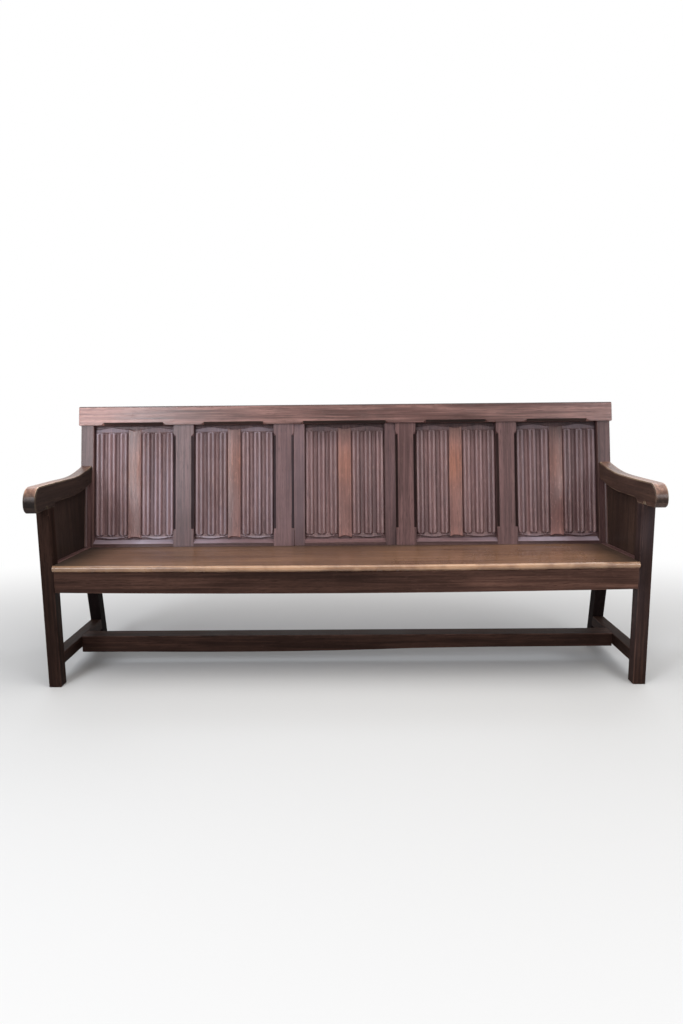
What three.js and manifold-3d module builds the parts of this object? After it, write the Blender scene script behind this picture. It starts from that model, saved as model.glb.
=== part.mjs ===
// A long oak settle bench: framed back with five linenfold panels, scrolled arms, stretchered legs.
// Millimetres, +Z up, the front faces -Y and +X is to the right of someone who looks at the front.
// The origin is on the floor, in the middle of the bench's own box.
import * as THREE from "three";
import { ConvexGeometry } from "three/addons/geometries/ConvexGeometry.js";
import { mergeVertices } from "three/addons/utils/BufferGeometryUtils.js";
import Module from "manifold-3d";

const wasm = await Module();
wasm.setup();

// Driving dimensions of the whole bench
const overallWidth = 2100; // across the outer faces of the posts
const seatHeight = 440; // floor to the top of the seat, at the front
const seatDepth = 370; // front face of the front posts to the face of the back, at the seat
const backLength = 549; // seat to the top edge of the back, measured along the rake
const backRakeDegrees = 11.3; // the back leans from upright
const legSplayDegrees = 10.5; // the rear legs run back from upright below the seat

// Fits and finish
const fitGap = 0.3; // play of a tenon in its mortise and of a panel in its groove
const scribeGap = 0.4; // play where a square member meets a sloping one
const overrun = 5; // how far a cut or a tenon runs past the face that it crosses
const arris = 1.6; // bevel that eases a long edge
const softArris = 3; // bevel of the edges that hands wear
const weldDistance = 0.001; // vertices nearer than this are one

// Front posts
const frontPostWidth = 44;
const frontPostDepth = 46;
const frontChamfer = 6; // stopped chamfer on the inner arris above the seat
const frontChamferFoot = 24; // seat to the lower stop
const frontChamferHead = 16; // arm to the upper stop

// Rear posts, each one piece from floor to top rail
const backPostWidth = 50;
const backPostDepth = 52; // at the seat
const backPostTopDepth = 44;
const legFootDepth = 46;
const legWidth = 44; // below the rails the inner face is cut back to this
const legReliefStop = 10; // height of the slope where that cut ends
const bendReach = 70; // how far the curve at the back of the bend reaches up and down

// Seat and its rails
const seatThickness = 22;
const seatFall = 11; // the seat is this much lower at the back
const noseOverhang = 12; // rounded front edge past the posts
const railHeight = 75;
const frontRailThickness = 24;
const frontRailSetback = 2;
const rearRailThickness = 26;
const rearRailSetback = 26; // behind the face of the back at the seat
const sideRailThickness = 42;
const sideRailProud = 1; // top of the side rail above the seat
const bearerCount = 3;
const bearerWidth = 45;
const bearerHeight = 40;
const bearerHousing = 6; // depth of the bearer's end in each rail
const bearerPitchShare = 0.3; // spacing of the bearers as a share of the width
const glueBlockCount = 4;
const glueBlockLength = 60;
const glueBlockLeg = 28;

// Stretchers
const stretcherTop = 115; // both stretchers are level on top
const sideStretcherHeight = 42;
const centreStretcherHeight = 50;
const centreStretcherDepth = 68;
const centreStretcherSetback = 210; // front post face to its front face
const centreTenonWidth = 44;
const centreTenonHeight = 20;

// Arms
const armTop = 711;
const armDepth = 60; // height of the arm's section along its level run
const armRearRise = 35; // top of the arm at the rear post, above its level run
const armRearDrop = 32; // lower edge at the rear post, above its level run
const armOverhang = 95; // scroll past the front posts
const rollRadius = 48;
const chinRadius = 22;
const chinTurnDegrees = 190; // where the roll tightens into the chin
const coveRadius = 10;
const coveInset = 2; // from the cove's edge to the post
const bracketDrop = 14.5; // the arm is this much deeper over the front post
const bracketLanding = 6; // flat behind the post before the bracket's curve
const bracketLength = 26;
const armSweepLength = 311; // level run of the top to the rear post
const armUnderLength = 225; // level run of the lower edge to the rear post
const sweepRunShares = [0.325, 0.646]; // handles of the top curve, from the rear post
const sweepRiseShares = [0.31, 0]; // and their heights in the rise
const underRunShares = [0.33, 0.6]; // handles of the lower curve, from the rear post
const underRiseShares = [0.43, 0.03];
const armCurveSteps = 16;
const rollSteps = 20;
const smallCurveSteps = 6;

// Closed sides under the arms
const armPanelThickness = 12;
const armPanelSetback = 8; // from the outer face of the posts
const grooveDepth = 8;
const filletSize = 12; // strip in the corner of rear post and side panel

// Framed back
const topRailHeight = 75;
const topRailThickness = 44;
const topRailProud = 6; // front of the top rail before the posts
const topRailOverhang = 8; // past the outer faces of the posts
const topRailArris = 4;
const backFrameThickness = 38;
const muntinWidth = 80;
const centreBayShare = 0.202; // of the width between the rear posts
const sillLip = 12; // upright front of the sill, above the seat
const sillRise = 17; // slope of the sill, from that to the panels
const panelSetback = 24; // field of the panels behind the frame
const footLap = 10; // the uprights' feet lap this deep over the lower rail
const railChamfer = 10;
const railChamferInset = 40; // from the side of the bay to the stop
const muntinChamfer = 9.5;
const muntinHead = 36; // top rail to the upper stop
const muntinBase = 60; // seat to the lower stop

// Linenfold panels: all five are carved to the width of a side bay
const panelEdgeThickness = 8;
const foldMargin = 2.5; // from the last fold to the side of a side bay
const foldRise = 11; // crest of a fold over the field
const foldCount = 3; // folds on each side of the centre band
const bandShare = 0.172; // half of the band in half of the carved width
const foldShare = 0.21; // one fold in half of the carved width
const ridgeShare = 0.4545; // one of a fold's two rolls in its width
const bandGroove = 2; // from the band to the first roll
const bandRise = 8;
const bandCrown = 1.2; // the band swells this much in its middle
const hollowRiseShare = 0.4; // floor between two rolls, as a share of the rise
const rollHeadMargin = 27; // upper ends of the rolls to the edge of the field
const rollFootMargin = 14; // and their lower ends
const rollEndSweep = 4; // the ends of a fold's rolls fall back this far at its sides
const bandHeadMargin = 11; // upper corners of the band to the edge of the field
const bandFootMargin = 1.5; // and its lower corners
const bandEndSweep = 7; // the band's ends are hollowed this far in its middle
const hemHeadMargin = 7; // hem of the cloth to the edge of the field, at its nearest
const hemFootMargin = 1.5;
const hemWave = 7; // how far the hem swings
const hemRise = 6.5; // the hem's edge over the field
const hemRootRise = 2.5; // and where it comes out from under the rolls
const ridgeSteps = 6;
const foldEndSteps = 4;
const bandEndSteps = 4;
const hemSteps = 12;
const stripSetback = 6; // plain strips that fill the wider middle bay, behind the muntins' face

// Tenons
const tenonThickness = 12;
const railTenonLength = 28;
const railTenonShoulder = 8;
const shortTenon = 20;
const sideTenonOffset = 22; // outer face of the posts to the middle of tenons that run fore and aft
const muntinTenonWidth = 50;
const muntinTenonLength = 26;
const muntinTenonThickness = 8;
const armTenonHeight = 34;
const armTenonLength = 22;
const postTenonWidth = 26;
const postTenonLength = 26;

// Places worked out from the sizes above
const rake = THREE.MathUtils.degToRad(backRakeDegrees);
const splay = THREE.MathUtils.degToRad(legSplayDegrees);
const outerX = overallWidth / 2;
const postInnerX = outerX - frontPostWidth;
const backPostInnerX = outerX - backPostWidth;
const sidePanelX = outerX - armPanelSetback - armPanelThickness;
const seatUnder = seatTopZ(frontRailSetback + frontRailThickness) - seatThickness;
const railBottom = seatUnder - railHeight;
const rearRailY = seatDepth + rearRailSetback;
const rearRailTop = seatTopZ(rearRailY + rearRailThickness) - seatThickness;
const armUnder = armTop - armDepth;
const postHeadZ = armUnder - bracketDrop;
const railFootU = backLength - topRailHeight; // lower edge of the top rail, up the rake
const seatU = seatMeetU(0); // where the seat meets the face of the back, up the rake
const sillU = seatU + sillLip;
const fieldFootU = sillU + sillRise; // where the sill meets the panels
const lowerRailFootU =
  (rearRailTop + scribeGap - seatHeight + backFrameThickness * Math.sin(rake)) / Math.cos(rake);
const centreBayWidth = 2 * backPostInnerX * centreBayShare;
const sideBayWidth = (2 * backPostInnerX - centreBayWidth - 4 * muntinWidth) / 4;
const carvedHalf = sideBayWidth / 2 - foldMargin;
const bandHalfWidth = carvedHalf * bandShare;
const foldWidth = carvedHalf * foldShare;
const ridgeHalfWidth = (foldWidth * ridgeShare) / 2;
const ridgeSpacing = foldWidth - 2 * ridgeHalfWidth;
const foldPitch = (carvedHalf - bandHalfWidth - bandGroove - foldWidth) / (foldCount - 1);

// Height of the seat's top at a distance from the front.
function seatTopZ(y) {
  return seatHeight - (seatFall * y) / seatDepth;
}

// Where the face of the back meets a plane this far under the seat's top, up the rake.
function seatMeetU(drop) {
  return -(seatFall + drop) / (Math.cos(rake) + (seatFall * Math.sin(rake)) / seatDepth);
}

// Y of the face of the back at a height above the seat.
function backFaceY(z) {
  return seatDepth + (z - seatHeight) * Math.tan(rake);
}

// Y of the front of a rear leg at a height below the seat.
function legFaceY(z) {
  const [bendY, bendZ] = backPoint(0, seatU);
  return bendY + (bendZ - z) * Math.tan(splay);
}

// World [y, z] of a point of the back: its depth behind the face and its way up the rake.
function backPoint(depth, up) {
  return [
    seatDepth + depth * Math.cos(rake) + up * Math.sin(rake),
    seatHeight - depth * Math.sin(rake) + up * Math.cos(rake),
  ];
}

const backMatrix = new THREE.Matrix4()
  .makeRotationX(-rake)
  .setPosition(0, seatDepth, seatHeight);

// Span between two X places on the right, or their mirror on the left.
function across(side, inner, outer) {
  return side > 0 ? [inner, outer] : [-outer, -inner];
}

function centred(middle, size) {
  return [middle - size / 2, middle + size / 2];
}

function grown(spans, gap) {
  return spans.map(([low, high]) => [low - gap, high + gap]);
}

// Closed geometry as a solid that can be joined and cut.
function solidOf(geometry) {
  const bare = geometry.index ? geometry.toNonIndexed() : geometry.clone();
  bare.deleteAttribute("normal");
  bare.deleteAttribute("uv");
  const merged = mergeVertices(bare, weldDistance);
  return new wasm.Manifold(
    new wasm.Mesh({
      numProp: 3,
      vertProperties: merged.attributes.position.array,
      triVerts: new Uint32Array(merged.index.array),
    }),
  );
}

function geometryOf(solid) {
  const { vertProperties, triVerts, numProp } = solid.getMesh();
  const count = vertProperties.length / numProp;
  const position = new Float32Array(count * 3);
  for (let i = 0; i < count; i += 1) {
    position.set(vertProperties.subarray(i * numProp, i * numProp + 3), i * 3);
  }
  const geometry = new THREE.BufferGeometry();
  geometry.setAttribute("position", new THREE.BufferAttribute(position, 3));
  geometry.setIndex(new THREE.BufferAttribute(triVerts, 1));
  geometry.computeVertexNormals();
  return geometry;
}

function cut(solid, ...tools) {
  return tools.reduce((left, tool) => left.subtract(tool), solid);
}

function join(solid, ...others) {
  return others.reduce((whole, other) => whole.add(other), solid);
}

function blockGeometry([x, y, z]) {
  const geometry = new THREE.BoxGeometry(x[1] - x[0], y[1] - y[0], z[1] - z[0]);
  return geometry.translate((x[0] + x[1]) / 2, (y[0] + y[1]) / 2, (z[0] + z[1]) / 2);
}

function block(spans) {
  return solidOf(blockGeometry(spans));
}

// A block given in the back's own directions, placed in the bench's.
function rakedBlock(spans) {
  return solidOf(blockGeometry(spans).applyMatrix4(backMatrix));
}

// How an outline is turned when it is drawn out along X, Y or Z.
const xAxis = new THREE.Vector3(1, 0, 0);
const yAxis = new THREE.Vector3(0, 1, 0);
const zAxis = new THREE.Vector3(0, 0, 1);
const turns = {
  x: new THREE.Matrix4().makeBasis(yAxis, zAxis, xAxis), // outline in Y and Z
  y: new THREE.Matrix4().makeBasis(zAxis, xAxis, yAxis), // outline in Z and X
  z: new THREE.Matrix4(), // outline in X and Y
};

function shapeOf(points) {
  return new THREE.Shape(points.map(([a, b]) => new THREE.Vector2(a, b)));
}

// An outline drawn out between two places on an axis, with its end edges eased by a bevel.
function prismGeometry(axis, shape, [low, high], bevel = 0) {
  const geometry = new THREE.ExtrudeGeometry(shape, {
    depth: high - low - 2 * bevel,
    bevelEnabled: bevel > 0,
    bevelThickness: bevel,
    bevelSize: bevel,
    bevelOffset: -bevel,
    bevelSegments: 1,
    curveSegments: smallCurveSteps,
  });
  geometry.translate(0, 0, low + bevel);
  return geometry.applyMatrix4(turns[axis]);
}

function prism(axis, shape, span, bevel) {
  return solidOf(prismGeometry(axis, shape, span, bevel));
}

// A square bar with eased long edges.
function bar(axis, spans, ease = arris) {
  const order = { x: [1, 2, 0], y: [2, 0, 1], z: [0, 1, 2] }[axis];
  const [a, b, run] = order.map((i) => spans[i]);
  const outline = [
    [a[0] + ease, b[0]],
    [a[1] - ease, b[0]],
    [a[1], b[0] + ease],
    [a[1], b[1] - ease],
    [a[1] - ease, b[1]],
    [a[0] + ease, b[1]],
    [a[0], b[1] - ease],
    [a[0], b[0] + ease],
  ];
  return prism(axis, shapeOf(outline), run);
}

// Cutter for a chamfer that runs along an edge and slopes out at both ends.
// corner is the edge's place in the two other directions, and facing points out of the wood there.
function stoppedChamfer(axis, [low, high], corner, facing, size) {
  const past = size + overrun;
  const out = overrun * Math.SQRT2;
  const section = (reach) => [
    [corner[0] + facing[0] * out, corner[1] + facing[1] * out],
    [corner[0] - facing[0] * reach, corner[1] + facing[1] * out],
    [corner[0] + facing[0] * out, corner[1] - facing[1] * reach],
  ];
  const points = [];
  const add = (run, reach) => {
    for (const [a, b] of section(reach)) {
      points.push(new THREE.Vector3(a, b, run));
    }
  };
  add(low - past, -out);
  add(low + size, size + out);
  add(high - size, size + out);
  add(high + past, -out);
  return solidOf(new ConvexGeometry(points).applyMatrix4(turns[axis]));
}

const oak = (color, roughness) =>
  new THREE.MeshStandardMaterial({ color, roughness, metalness: 0 });
const frameOak = oak(0x4a3028, 0.5);
const legOak = oak(0x38251f, 0.5);
const panelOak = oak(0x5c433c, 0.55);
const seatOak = oak(0x7d5230, 0.3);
const railOak = oak(0x55352b, 0.45);
const hiddenOak = oak(0x7a6248, 0.75);

const bench = new THREE.Group();
const back = new THREE.Group();
back.rotation.x = -rake;
back.position.set(0, seatDepth, seatHeight);
bench.add(back);

function place(parent, name, solid, material) {
  const mesh = new THREE.Mesh(geometryOf(solid), material);
  mesh.name = name;
  parent.add(mesh);
}

const sides = [
  ["left", -1],
  ["right", 1],
];

// Joints: each is one block, joined to the piece that has the tenon and, grown by the play, cut
// from the piece that has the mortise.
const tenonX = outerX - sideTenonOffset;

function frontRailTenon(side) {
  return [
    across(side, postInnerX - overrun, postInnerX + railTenonLength),
    centred(frontRailSetback + frontRailThickness / 2, tenonThickness),
    [railBottom + railTenonShoulder, seatUnder - railTenonShoulder],
  ];
}

function rearRailTenon(side) {
  return [
    across(side, backPostInnerX - overrun, backPostInnerX + shortTenon),
    centred(rearRailY + rearRailThickness / 2, tenonThickness),
    [railBottom + railTenonShoulder, rearRailTop - railTenonShoulder],
  ];
}

function sideRailTenons(side) {
  const x = across(side, tenonX - tenonThickness / 2, tenonX + tenonThickness / 2);
  const z = [railBottom + railTenonShoulder, rearRailTop - railTenonShoulder];
  return {
    front: [x, [frontPostDepth - shortTenon, frontPostDepth + overrun], z],
    rear: [x, [seatDepth - overrun, legFaceY(railBottom) + shortTenon], z],
  };
}

function sideStretcherTenons(side) {
  const x = across(side, tenonX - tenonThickness / 2, tenonX + tenonThickness / 2);
  const z = [
    stretcherTop - sideStretcherHeight + railTenonShoulder,
    stretcherTop - railTenonShoulder,
  ];
  return {
    front: [x, [frontPostDepth - railTenonLength, frontPostDepth + overrun], z],
    rear: [x, [legFaceY(stretcherTop) - overrun, legFaceY(0) + shortTenon], z],
  };
}

function centreStretcherTenon(side) {
  const middle = stretcherTop - sideStretcherHeight / 2;
  return [
    across(side, postInnerX - overrun, postInnerX + shortTenon),
    centred(centreStretcherSetback + centreStretcherDepth / 2, centreTenonWidth),
    centred(middle, centreTenonHeight),
  ];
}

function postHeadTenon(side) {
  return [
    across(side, tenonX - tenonThickness / 2, tenonX + tenonThickness / 2),
    centred((frontPostDepth - grooveDepth) / 2, postTenonWidth),
    [postHeadZ - overrun, postHeadZ + postTenonLength],
  ];
}

const armRearY = backFaceY(armTop + armRearRise);

function armTenon(side) {
  const middle = armTop + (armRearRise - armDepth + armRearDrop) / 2;
  return [
    across(side, tenonX - tenonThickness / 2, tenonX + tenonThickness / 2),
    [armRearY - armTenonLength - overrun, armRearY + armTenonLength],
    centred(middle, armTenonHeight),
  ];
}

// Tenons of the raked frame, in the back's own directions
function postTopTenon(side) {
  return [
    across(side, tenonX - tenonThickness / 2, tenonX + tenonThickness / 2),
    centred(backFrameThickness / 2, postTenonWidth),
    [railFootU - overrun, railFootU + postTenonLength],
  ];
}

function lowerRailTenon(side) {
  return [
    across(side, backPostInnerX - overrun, backPostInnerX + railTenonLength),
    centred(backFrameThickness / 2, tenonThickness),
    [lowerRailFootU + arris, fieldFootU - grooveDepth - overrun],
  ];
}

const muntinTenonV = [panelSetback, panelSetback + muntinTenonThickness];

function muntinHeadTenon(x) {
  const run = [railFootU - overrun, railFootU + muntinTenonLength];
  return [centred(x, muntinTenonWidth), muntinTenonV, run];
}

function muntinFootTenon(x) {
  const run = [fieldFootU - muntinTenonLength, fieldFootU + overrun];
  return [centred(x, muntinTenonWidth), muntinTenonV, run];
}

// The bays of the back, from left to right, and the muntins between them
const bays = [];
const muntinPlaces = [];
let bayStart = -backPostInnerX;
for (const width of [sideBayWidth, sideBayWidth, centreBayWidth, sideBayWidth, sideBayWidth]) {
  bays.push([bayStart, bayStart + width]);
  bayStart += width + muntinWidth;
}
for (let i = 0; i + 1 < bays.length; i += 1) {
  muntinPlaces.push((bays[i][1] + bays[i + 1][0]) / 2);
}

// The thin edge of a panel, which the grooves of the frame hold.
function panelBoard([left, right]) {
  return [
    [left - grooveDepth, right + grooveDepth],
    [panelSetback, panelSetback + panelEdgeThickness],
    [fieldFootU - grooveDepth, railFootU + grooveDepth],
  ];
}

const panelGrooves = () => bays.map((bay) => block(grown(panelBoard(bay), fitGap)));
const rakedPanelGrooves = () =>
  [bays[0], bays[bays.length - 1]].map((bay) => rakedBlock(grown(panelBoard(bay), fitGap)));

// Side panel under an arm. Its upper edge follows the arm's lower edge, inside the arm's groove.
function armUnderCurve(rise) {
  const rearZ = armUnder + armRearDrop + rise;
  const rearY = backFaceY(rearZ) + grooveDepth;
  const run = armUnderLength;
  return new THREE.CubicBezierCurve(
    new THREE.Vector2(rearY, rearZ),
    new THREE.Vector2(
      rearY - run * underRunShares[0],
      armUnder + rise + armRearDrop * underRiseShares[0],
    ),
    new THREE.Vector2(
      rearY - run * underRunShares[1],
      armUnder + rise + armRearDrop * underRiseShares[1],
    ),
    new THREE.Vector2(rearY - run, armUnder + rise),
  );
}

function armPanel(side, gap) {
  const frontY = frontPostDepth - grooveDepth - gap;
  const footZ = (y) => seatTopZ(y) + sideRailProud - grooveDepth - gap;
  const headZ = armUnder + grooveDepth + gap;
  const rearZ = armUnder + armRearDrop + grooveDepth + gap;
  const behind = grooveDepth + gap;
  const curve = armUnderCurve(grooveDepth + gap).getPoints(armCurveSteps);
  const shape = shapeOf([
    [frontY, footZ(frontY)],
    [seatDepth + behind, footZ(seatDepth + behind)],
    [backFaceY(rearZ) + behind, rearZ],
    ...curve.slice(1).map((p) => [p.x, p.y]),
    [frontY, headZ],
  ]);
  const x = across(side, sidePanelX - gap, sidePanelX + armPanelThickness + gap);
  return prism("x", shape, x);
}

function frontPost(side) {
  const x = across(side, postInnerX, outerX);
  const body = bar("z", [x, [0, frontPostDepth], [0, postHeadZ]]);
  const chamfer = stoppedChamfer(
    "z",
    [seatHeight + frontChamferFoot, postHeadZ - frontChamferHead],
    [side * postInnerX, 0],
    [-side, -1],
    frontChamfer,
  );
  return cut(
    join(body, block(postHeadTenon(side))),
    chamfer,
    armPanel(side, fitGap),
    block(grown(frontRailTenon(side), fitGap)),
    block(grown(sideRailTenons(side).front, fitGap)),
    block(grown(sideStretcherTenons(side).front, fitGap)),
  );
}

// Side outline of a rear post: raked back above the seat, splayed back below it.
function rearPostOutline() {
  const top = railFootU - fitGap;
  const [faceY, bendZ] = backPoint(0, seatU);
  const bendY = faceY + backPostDepth / Math.cos(rake);
  const upper = backPoint(backPostDepth, bendReach);
  const lowerZ = bendZ - bendReach;
  const footBackY = legFaceY(0) + legFootDepth;
  const lowerY = bendY + (footBackY - bendY) * (bendReach / bendZ);
  const shape = new THREE.Shape();
  shape.moveTo(legFaceY(0), 0);
  shape.lineTo(faceY, bendZ);
  shape.lineTo(...backPoint(0, top));
  shape.lineTo(...backPoint(backPostTopDepth, top));
  shape.lineTo(...upper);
  shape.quadraticCurveTo(bendY, bendZ, lowerY, lowerZ);
  shape.lineTo(footBackY, 0);
  shape.closePath();
  return shape;
}

// Block that takes the inner face of a leg back to its width, with a sloping stop at the rails.
function legRelief(side) {
  const reliefX = outerX - legWidth;
  const shape = shapeOf([
    [side * (backPostInnerX - overrun), -overrun],
    [side * reliefX, -overrun],
    [side * reliefX, railBottom - legReliefStop],
    [side * backPostInnerX, railBottom],
    [side * (backPostInnerX - overrun), railBottom],
  ]);
  const deep = [seatDepth - overrun, legFaceY(0) + legFootDepth + overrun];
  const upright = new THREE.Matrix4().makeRotationX(Math.PI / 2);
  const geometry = new THREE.ExtrudeGeometry(shape, {
    depth: deep[1] - deep[0],
    bevelEnabled: false,
  });
  return solidOf(geometry.applyMatrix4(upright).translate(0, deep[1], 0));
}

function rearPost(side) {
  const body = prism("x", rearPostOutline(), across(side, backPostInnerX, outerX), arris);
  return cut(
    join(body, rakedBlock(postTopTenon(side))),
    legRelief(side),
    armPanel(side, fitGap),
    rakedPanelGrooves()[side > 0 ? 1 : 0],
    rakedBlock(grown(lowerRailTenon(side), fitGap)),
    block(grown(rearRailTenon(side), fitGap)),
    block(grown(sideRailTenons(side).rear, fitGap)),
    block(grown(sideStretcherTenons(side).rear, fitGap)),
    block(grown(armTenon(side), fitGap)),
  );
}

// Side outline of an arm: level run, sweep up to the rear post, roll and chin at the front.
function armOutline() {
  const topZ = armTop;
  const rearZ = armTop + armRearRise;
  const sweepZ = (share) => armTop + armRearRise * share;
  const centreY = rollRadius - armOverhang;
  const centreZ = armTop - rollRadius;
  const turn = THREE.MathUtils.degToRad(chinTurnDegrees);
  const chinY = centreY + (rollRadius - chinRadius) * Math.cos(turn);
  const chinZ = centreZ + (rollRadius - chinRadius) * Math.sin(turn);
  const coveY = -coveInset - coveRadius;
  const bracketY = frontPostDepth + bracketLanding;
  const top = new THREE.CubicBezierCurve(
    new THREE.Vector2(armRearY, rearZ),
    new THREE.Vector2(armRearY - armSweepLength * sweepRunShares[0], sweepZ(sweepRiseShares[0])),
    new THREE.Vector2(armRearY - armSweepLength * sweepRunShares[1], sweepZ(sweepRiseShares[1])),
    new THREE.Vector2(armRearY - armSweepLength, topZ),
  );
  const under = armUnderCurve(0);
  const topPoints = top.getPoints(armCurveSteps);
  const underPoints = under.getPoints(armCurveSteps).reverse();
  const past = armTenonLength;
  const slopeOf = (a, b) => (b.y - a.y) / (b.x - a.x);
  const topSlope = slopeOf(topPoints[1], topPoints[0]);
  const shape = new THREE.Shape();
  shape.moveTo(armRearY + past, rearZ + past * topSlope);
  for (const p of topPoints) {
    shape.lineTo(p.x, p.y);
  }
  shape.lineTo(centreY, topZ);
  for (let i = 1; i <= rollSteps; i += 1) {
    const angle = Math.PI / 2 + ((turn - Math.PI / 2) * i) / rollSteps;
    shape.lineTo(centreY + rollRadius * Math.cos(angle), centreZ + rollRadius * Math.sin(angle));
  }
  for (let i = 1; i <= smallCurveSteps; i += 1) {
    const angle = turn + ((1.5 * Math.PI - turn) * i) / smallCurveSteps;
    shape.lineTo(chinY + chinRadius * Math.cos(angle), chinZ + chinRadius * Math.sin(angle));
  }
  shape.lineTo(coveY - coveRadius, postHeadZ);
  for (let i = 1; i <= smallCurveSteps; i += 1) {
    const angle = Math.PI - (Math.PI * i) / smallCurveSteps;
    shape.lineTo(coveY + coveRadius * Math.cos(angle), postHeadZ + coveRadius * Math.sin(angle));
  }
  shape.lineTo(bracketY, postHeadZ);
  shape.quadraticCurveTo(bracketY + bracketLength / 4, armUnder, bracketY + bracketLength, armUnder);
  for (const p of underPoints) {
    shape.lineTo(p.x, p.y);
  }
  const rearUnder = underPoints[underPoints.length - 1];
  shape.lineTo(rearUnder.x + past, rearUnder.y);
  shape.closePath();
  return shape;
}

function arm(side) {
  const body = prism("x", armOutline(), across(side, postInnerX, outerX), softArris);
  const behindFace = [
    across(side, postInnerX - overrun, outerX + overrun),
    [-scribeGap, backPostDepth * 2],
    [0, backLength],
  ];
  return cut(
    join(cut(body, rakedBlock(behindFace)), block(armTenon(side))),
    block(grown(postHeadTenon(side), fitGap)),
    armPanel(side, fitGap),
  );
}

// Side rail of the seat, its rear end cut to the bend of the rear post.
function sideRail(side) {
  const [bendY, bendZ] = backPoint(0, seatU);
  const [rearY, rearZ] = backPoint(0, seatMeetU(-sideRailProud));
  const shape = shapeOf([
    [frontPostDepth, railBottom],
    [legFaceY(railBottom) - scribeGap, railBottom],
    [bendY - scribeGap, bendZ],
    [rearY - scribeGap, rearZ],
    [frontPostDepth, seatTopZ(frontPostDepth) + sideRailProud],
  ]);
  const x = across(side, postInnerX, postInnerX + sideRailThickness);
  const tenons = sideRailTenons(side);
  const body = join(prism("x", shape, x), block(tenons.front), block(tenons.rear));
  return cut(body, armPanel(side, fitGap));
}

function sideStretcher(side) {
  const foot = stretcherTop - sideStretcherHeight;
  const shape = shapeOf([
    [frontPostDepth, foot],
    [legFaceY(foot) - scribeGap, foot],
    [legFaceY(stretcherTop) - scribeGap, stretcherTop],
    [frontPostDepth, stretcherTop],
  ]);
  const tenons = sideStretcherTenons(side);
  const x = across(side, postInnerX, outerX);
  const eased = bar("y", [x, [0, seatDepth * 2], [foot, stretcherTop]]);
  const body = prism("x", shape, x).intersect(eased);
  return cut(
    join(body, block(tenons.front), block(tenons.rear)),
    block(grown(centreStretcherTenon(side), fitGap)),
  );
}

function centreStretcher() {
  const body = bar("x", [
    [-postInnerX, postInnerX],
    [centreStretcherSetback, centreStretcherSetback + centreStretcherDepth],
    [stretcherTop - centreStretcherHeight, stretcherTop],
  ]);
  return join(body, ...sides.map(([, side]) => block(centreStretcherTenon(side))));
}

// Bearers run fore and aft under the seat, with their ends housed in the rails.
function bearer(i, gap) {
  const x = (i - (bearerCount - 1) / 2) * bearerPitchShare * overallWidth;
  const near = frontRailSetback + frontRailThickness - bearerHousing - gap;
  const far = rearRailY + bearerHousing + gap;
  const headZ = (y) => seatTopZ(y) - seatThickness - fitGap + gap;
  const drop = bearerHeight + 2 * gap;
  const shape = shapeOf([
    [near, headZ(near) - drop],
    [far, headZ(far) - drop],
    [far, headZ(far)],
    [near, headZ(near)],
  ]);
  return prism("x", shape, centred(x, bearerWidth + 2 * gap));
}

const bearerHousings = () => Array.from({ length: bearerCount }, (_, i) => bearer(i, fitGap));

function frontRail() {
  const body = bar("x", [
    [-postInnerX, postInnerX],
    [frontRailSetback, frontRailSetback + frontRailThickness],
    [railBottom, seatUnder],
  ]);
  const tenons = sides.map(([, side]) => block(frontRailTenon(side)));
  return cut(join(body, ...tenons), ...bearerHousings());
}

function rearRail() {
  const body = bar("x", [
    [-backPostInnerX, backPostInnerX],
    [rearRailY, rearRailY + rearRailThickness],
    [railBottom, rearRailTop],
  ]);
  const tenons = sides.map(([, side]) => block(rearRailTenon(side)));
  return cut(join(body, ...tenons), ...bearerHousings());
}

function seatBoard() {
  const radius = seatThickness / 2;
  const noseY = radius - noseOverhang;
  const noseZ = seatTopZ(noseY) - radius;
  const [underY, underZ] = backPoint(0, seatMeetU(seatThickness));
  const [rearY, rearZ] = backPoint(0, seatU);
  const shape = new THREE.Shape();
  shape.moveTo(underY - scribeGap, underZ);
  shape.lineTo(rearY - scribeGap, rearZ);
  for (let i = 0; i <= rollSteps; i += 1) {
    const angle = Math.PI / 2 + (Math.PI * i) / rollSteps;
    shape.lineTo(noseY + radius * Math.cos(angle), noseZ + radius * Math.sin(angle));
  }
  shape.closePath();
  return prism("x", shape, [-postInnerX + fitGap, postInnerX - fitGap]);
}

// Three-cornered block glued behind the front rail, under the seat.
function glueBlock(i) {
  const pitch = overallWidth * bearerPitchShare;
  const x = (i - (glueBlockCount - 1) / 2) * pitch;
  const faceY = frontRailSetback + frontRailThickness;
  const farY = faceY + glueBlockLeg;
  const shape = shapeOf([
    [faceY, seatUnder - fitGap],
    [faceY, seatUnder - glueBlockLeg],
    [farY, seatTopZ(farY) - seatThickness - fitGap],
  ]);
  return prism("x", shape, centred(x, glueBlockLength));
}

function topRail() {
  const v = [-topRailProud, topRailThickness - topRailProud];
  const shape = shapeOf([
    [v[0], railFootU],
    [v[1], railFootU],
    [v[1], backLength - topRailArris],
    [v[1] - topRailArris, backLength],
    [v[0] + topRailArris, backLength],
    [v[0], backLength - topRailArris],
  ]);
  const ends = outerX + topRailOverhang;
  const body = prism("x", shape, [-ends, ends], arris);
  const chamfers = bays.map(([left, right]) =>
    stoppedChamfer(
      "x",
      [left + railChamferInset, right - railChamferInset],
      [v[0], railFootU],
      [-1, -1],
      railChamfer,
    ),
  );
  return cut(
    body,
    ...chamfers,
    ...panelGrooves(),
    ...muntinPlaces.map((x) => block(grown(muntinHeadTenon(x), fitGap))),
    ...sides.map(([, side]) => block(grown(postTopTenon(side), fitGap))),
  );
}

// Notch in the lower rail's face for the lapped foot of an upright.
function footNotch(x) {
  return block([[x[0] - fitGap, x[1] + fitGap], [-overrun, footLap + fitGap], [seatU, fieldFootU]]);
}

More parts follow.
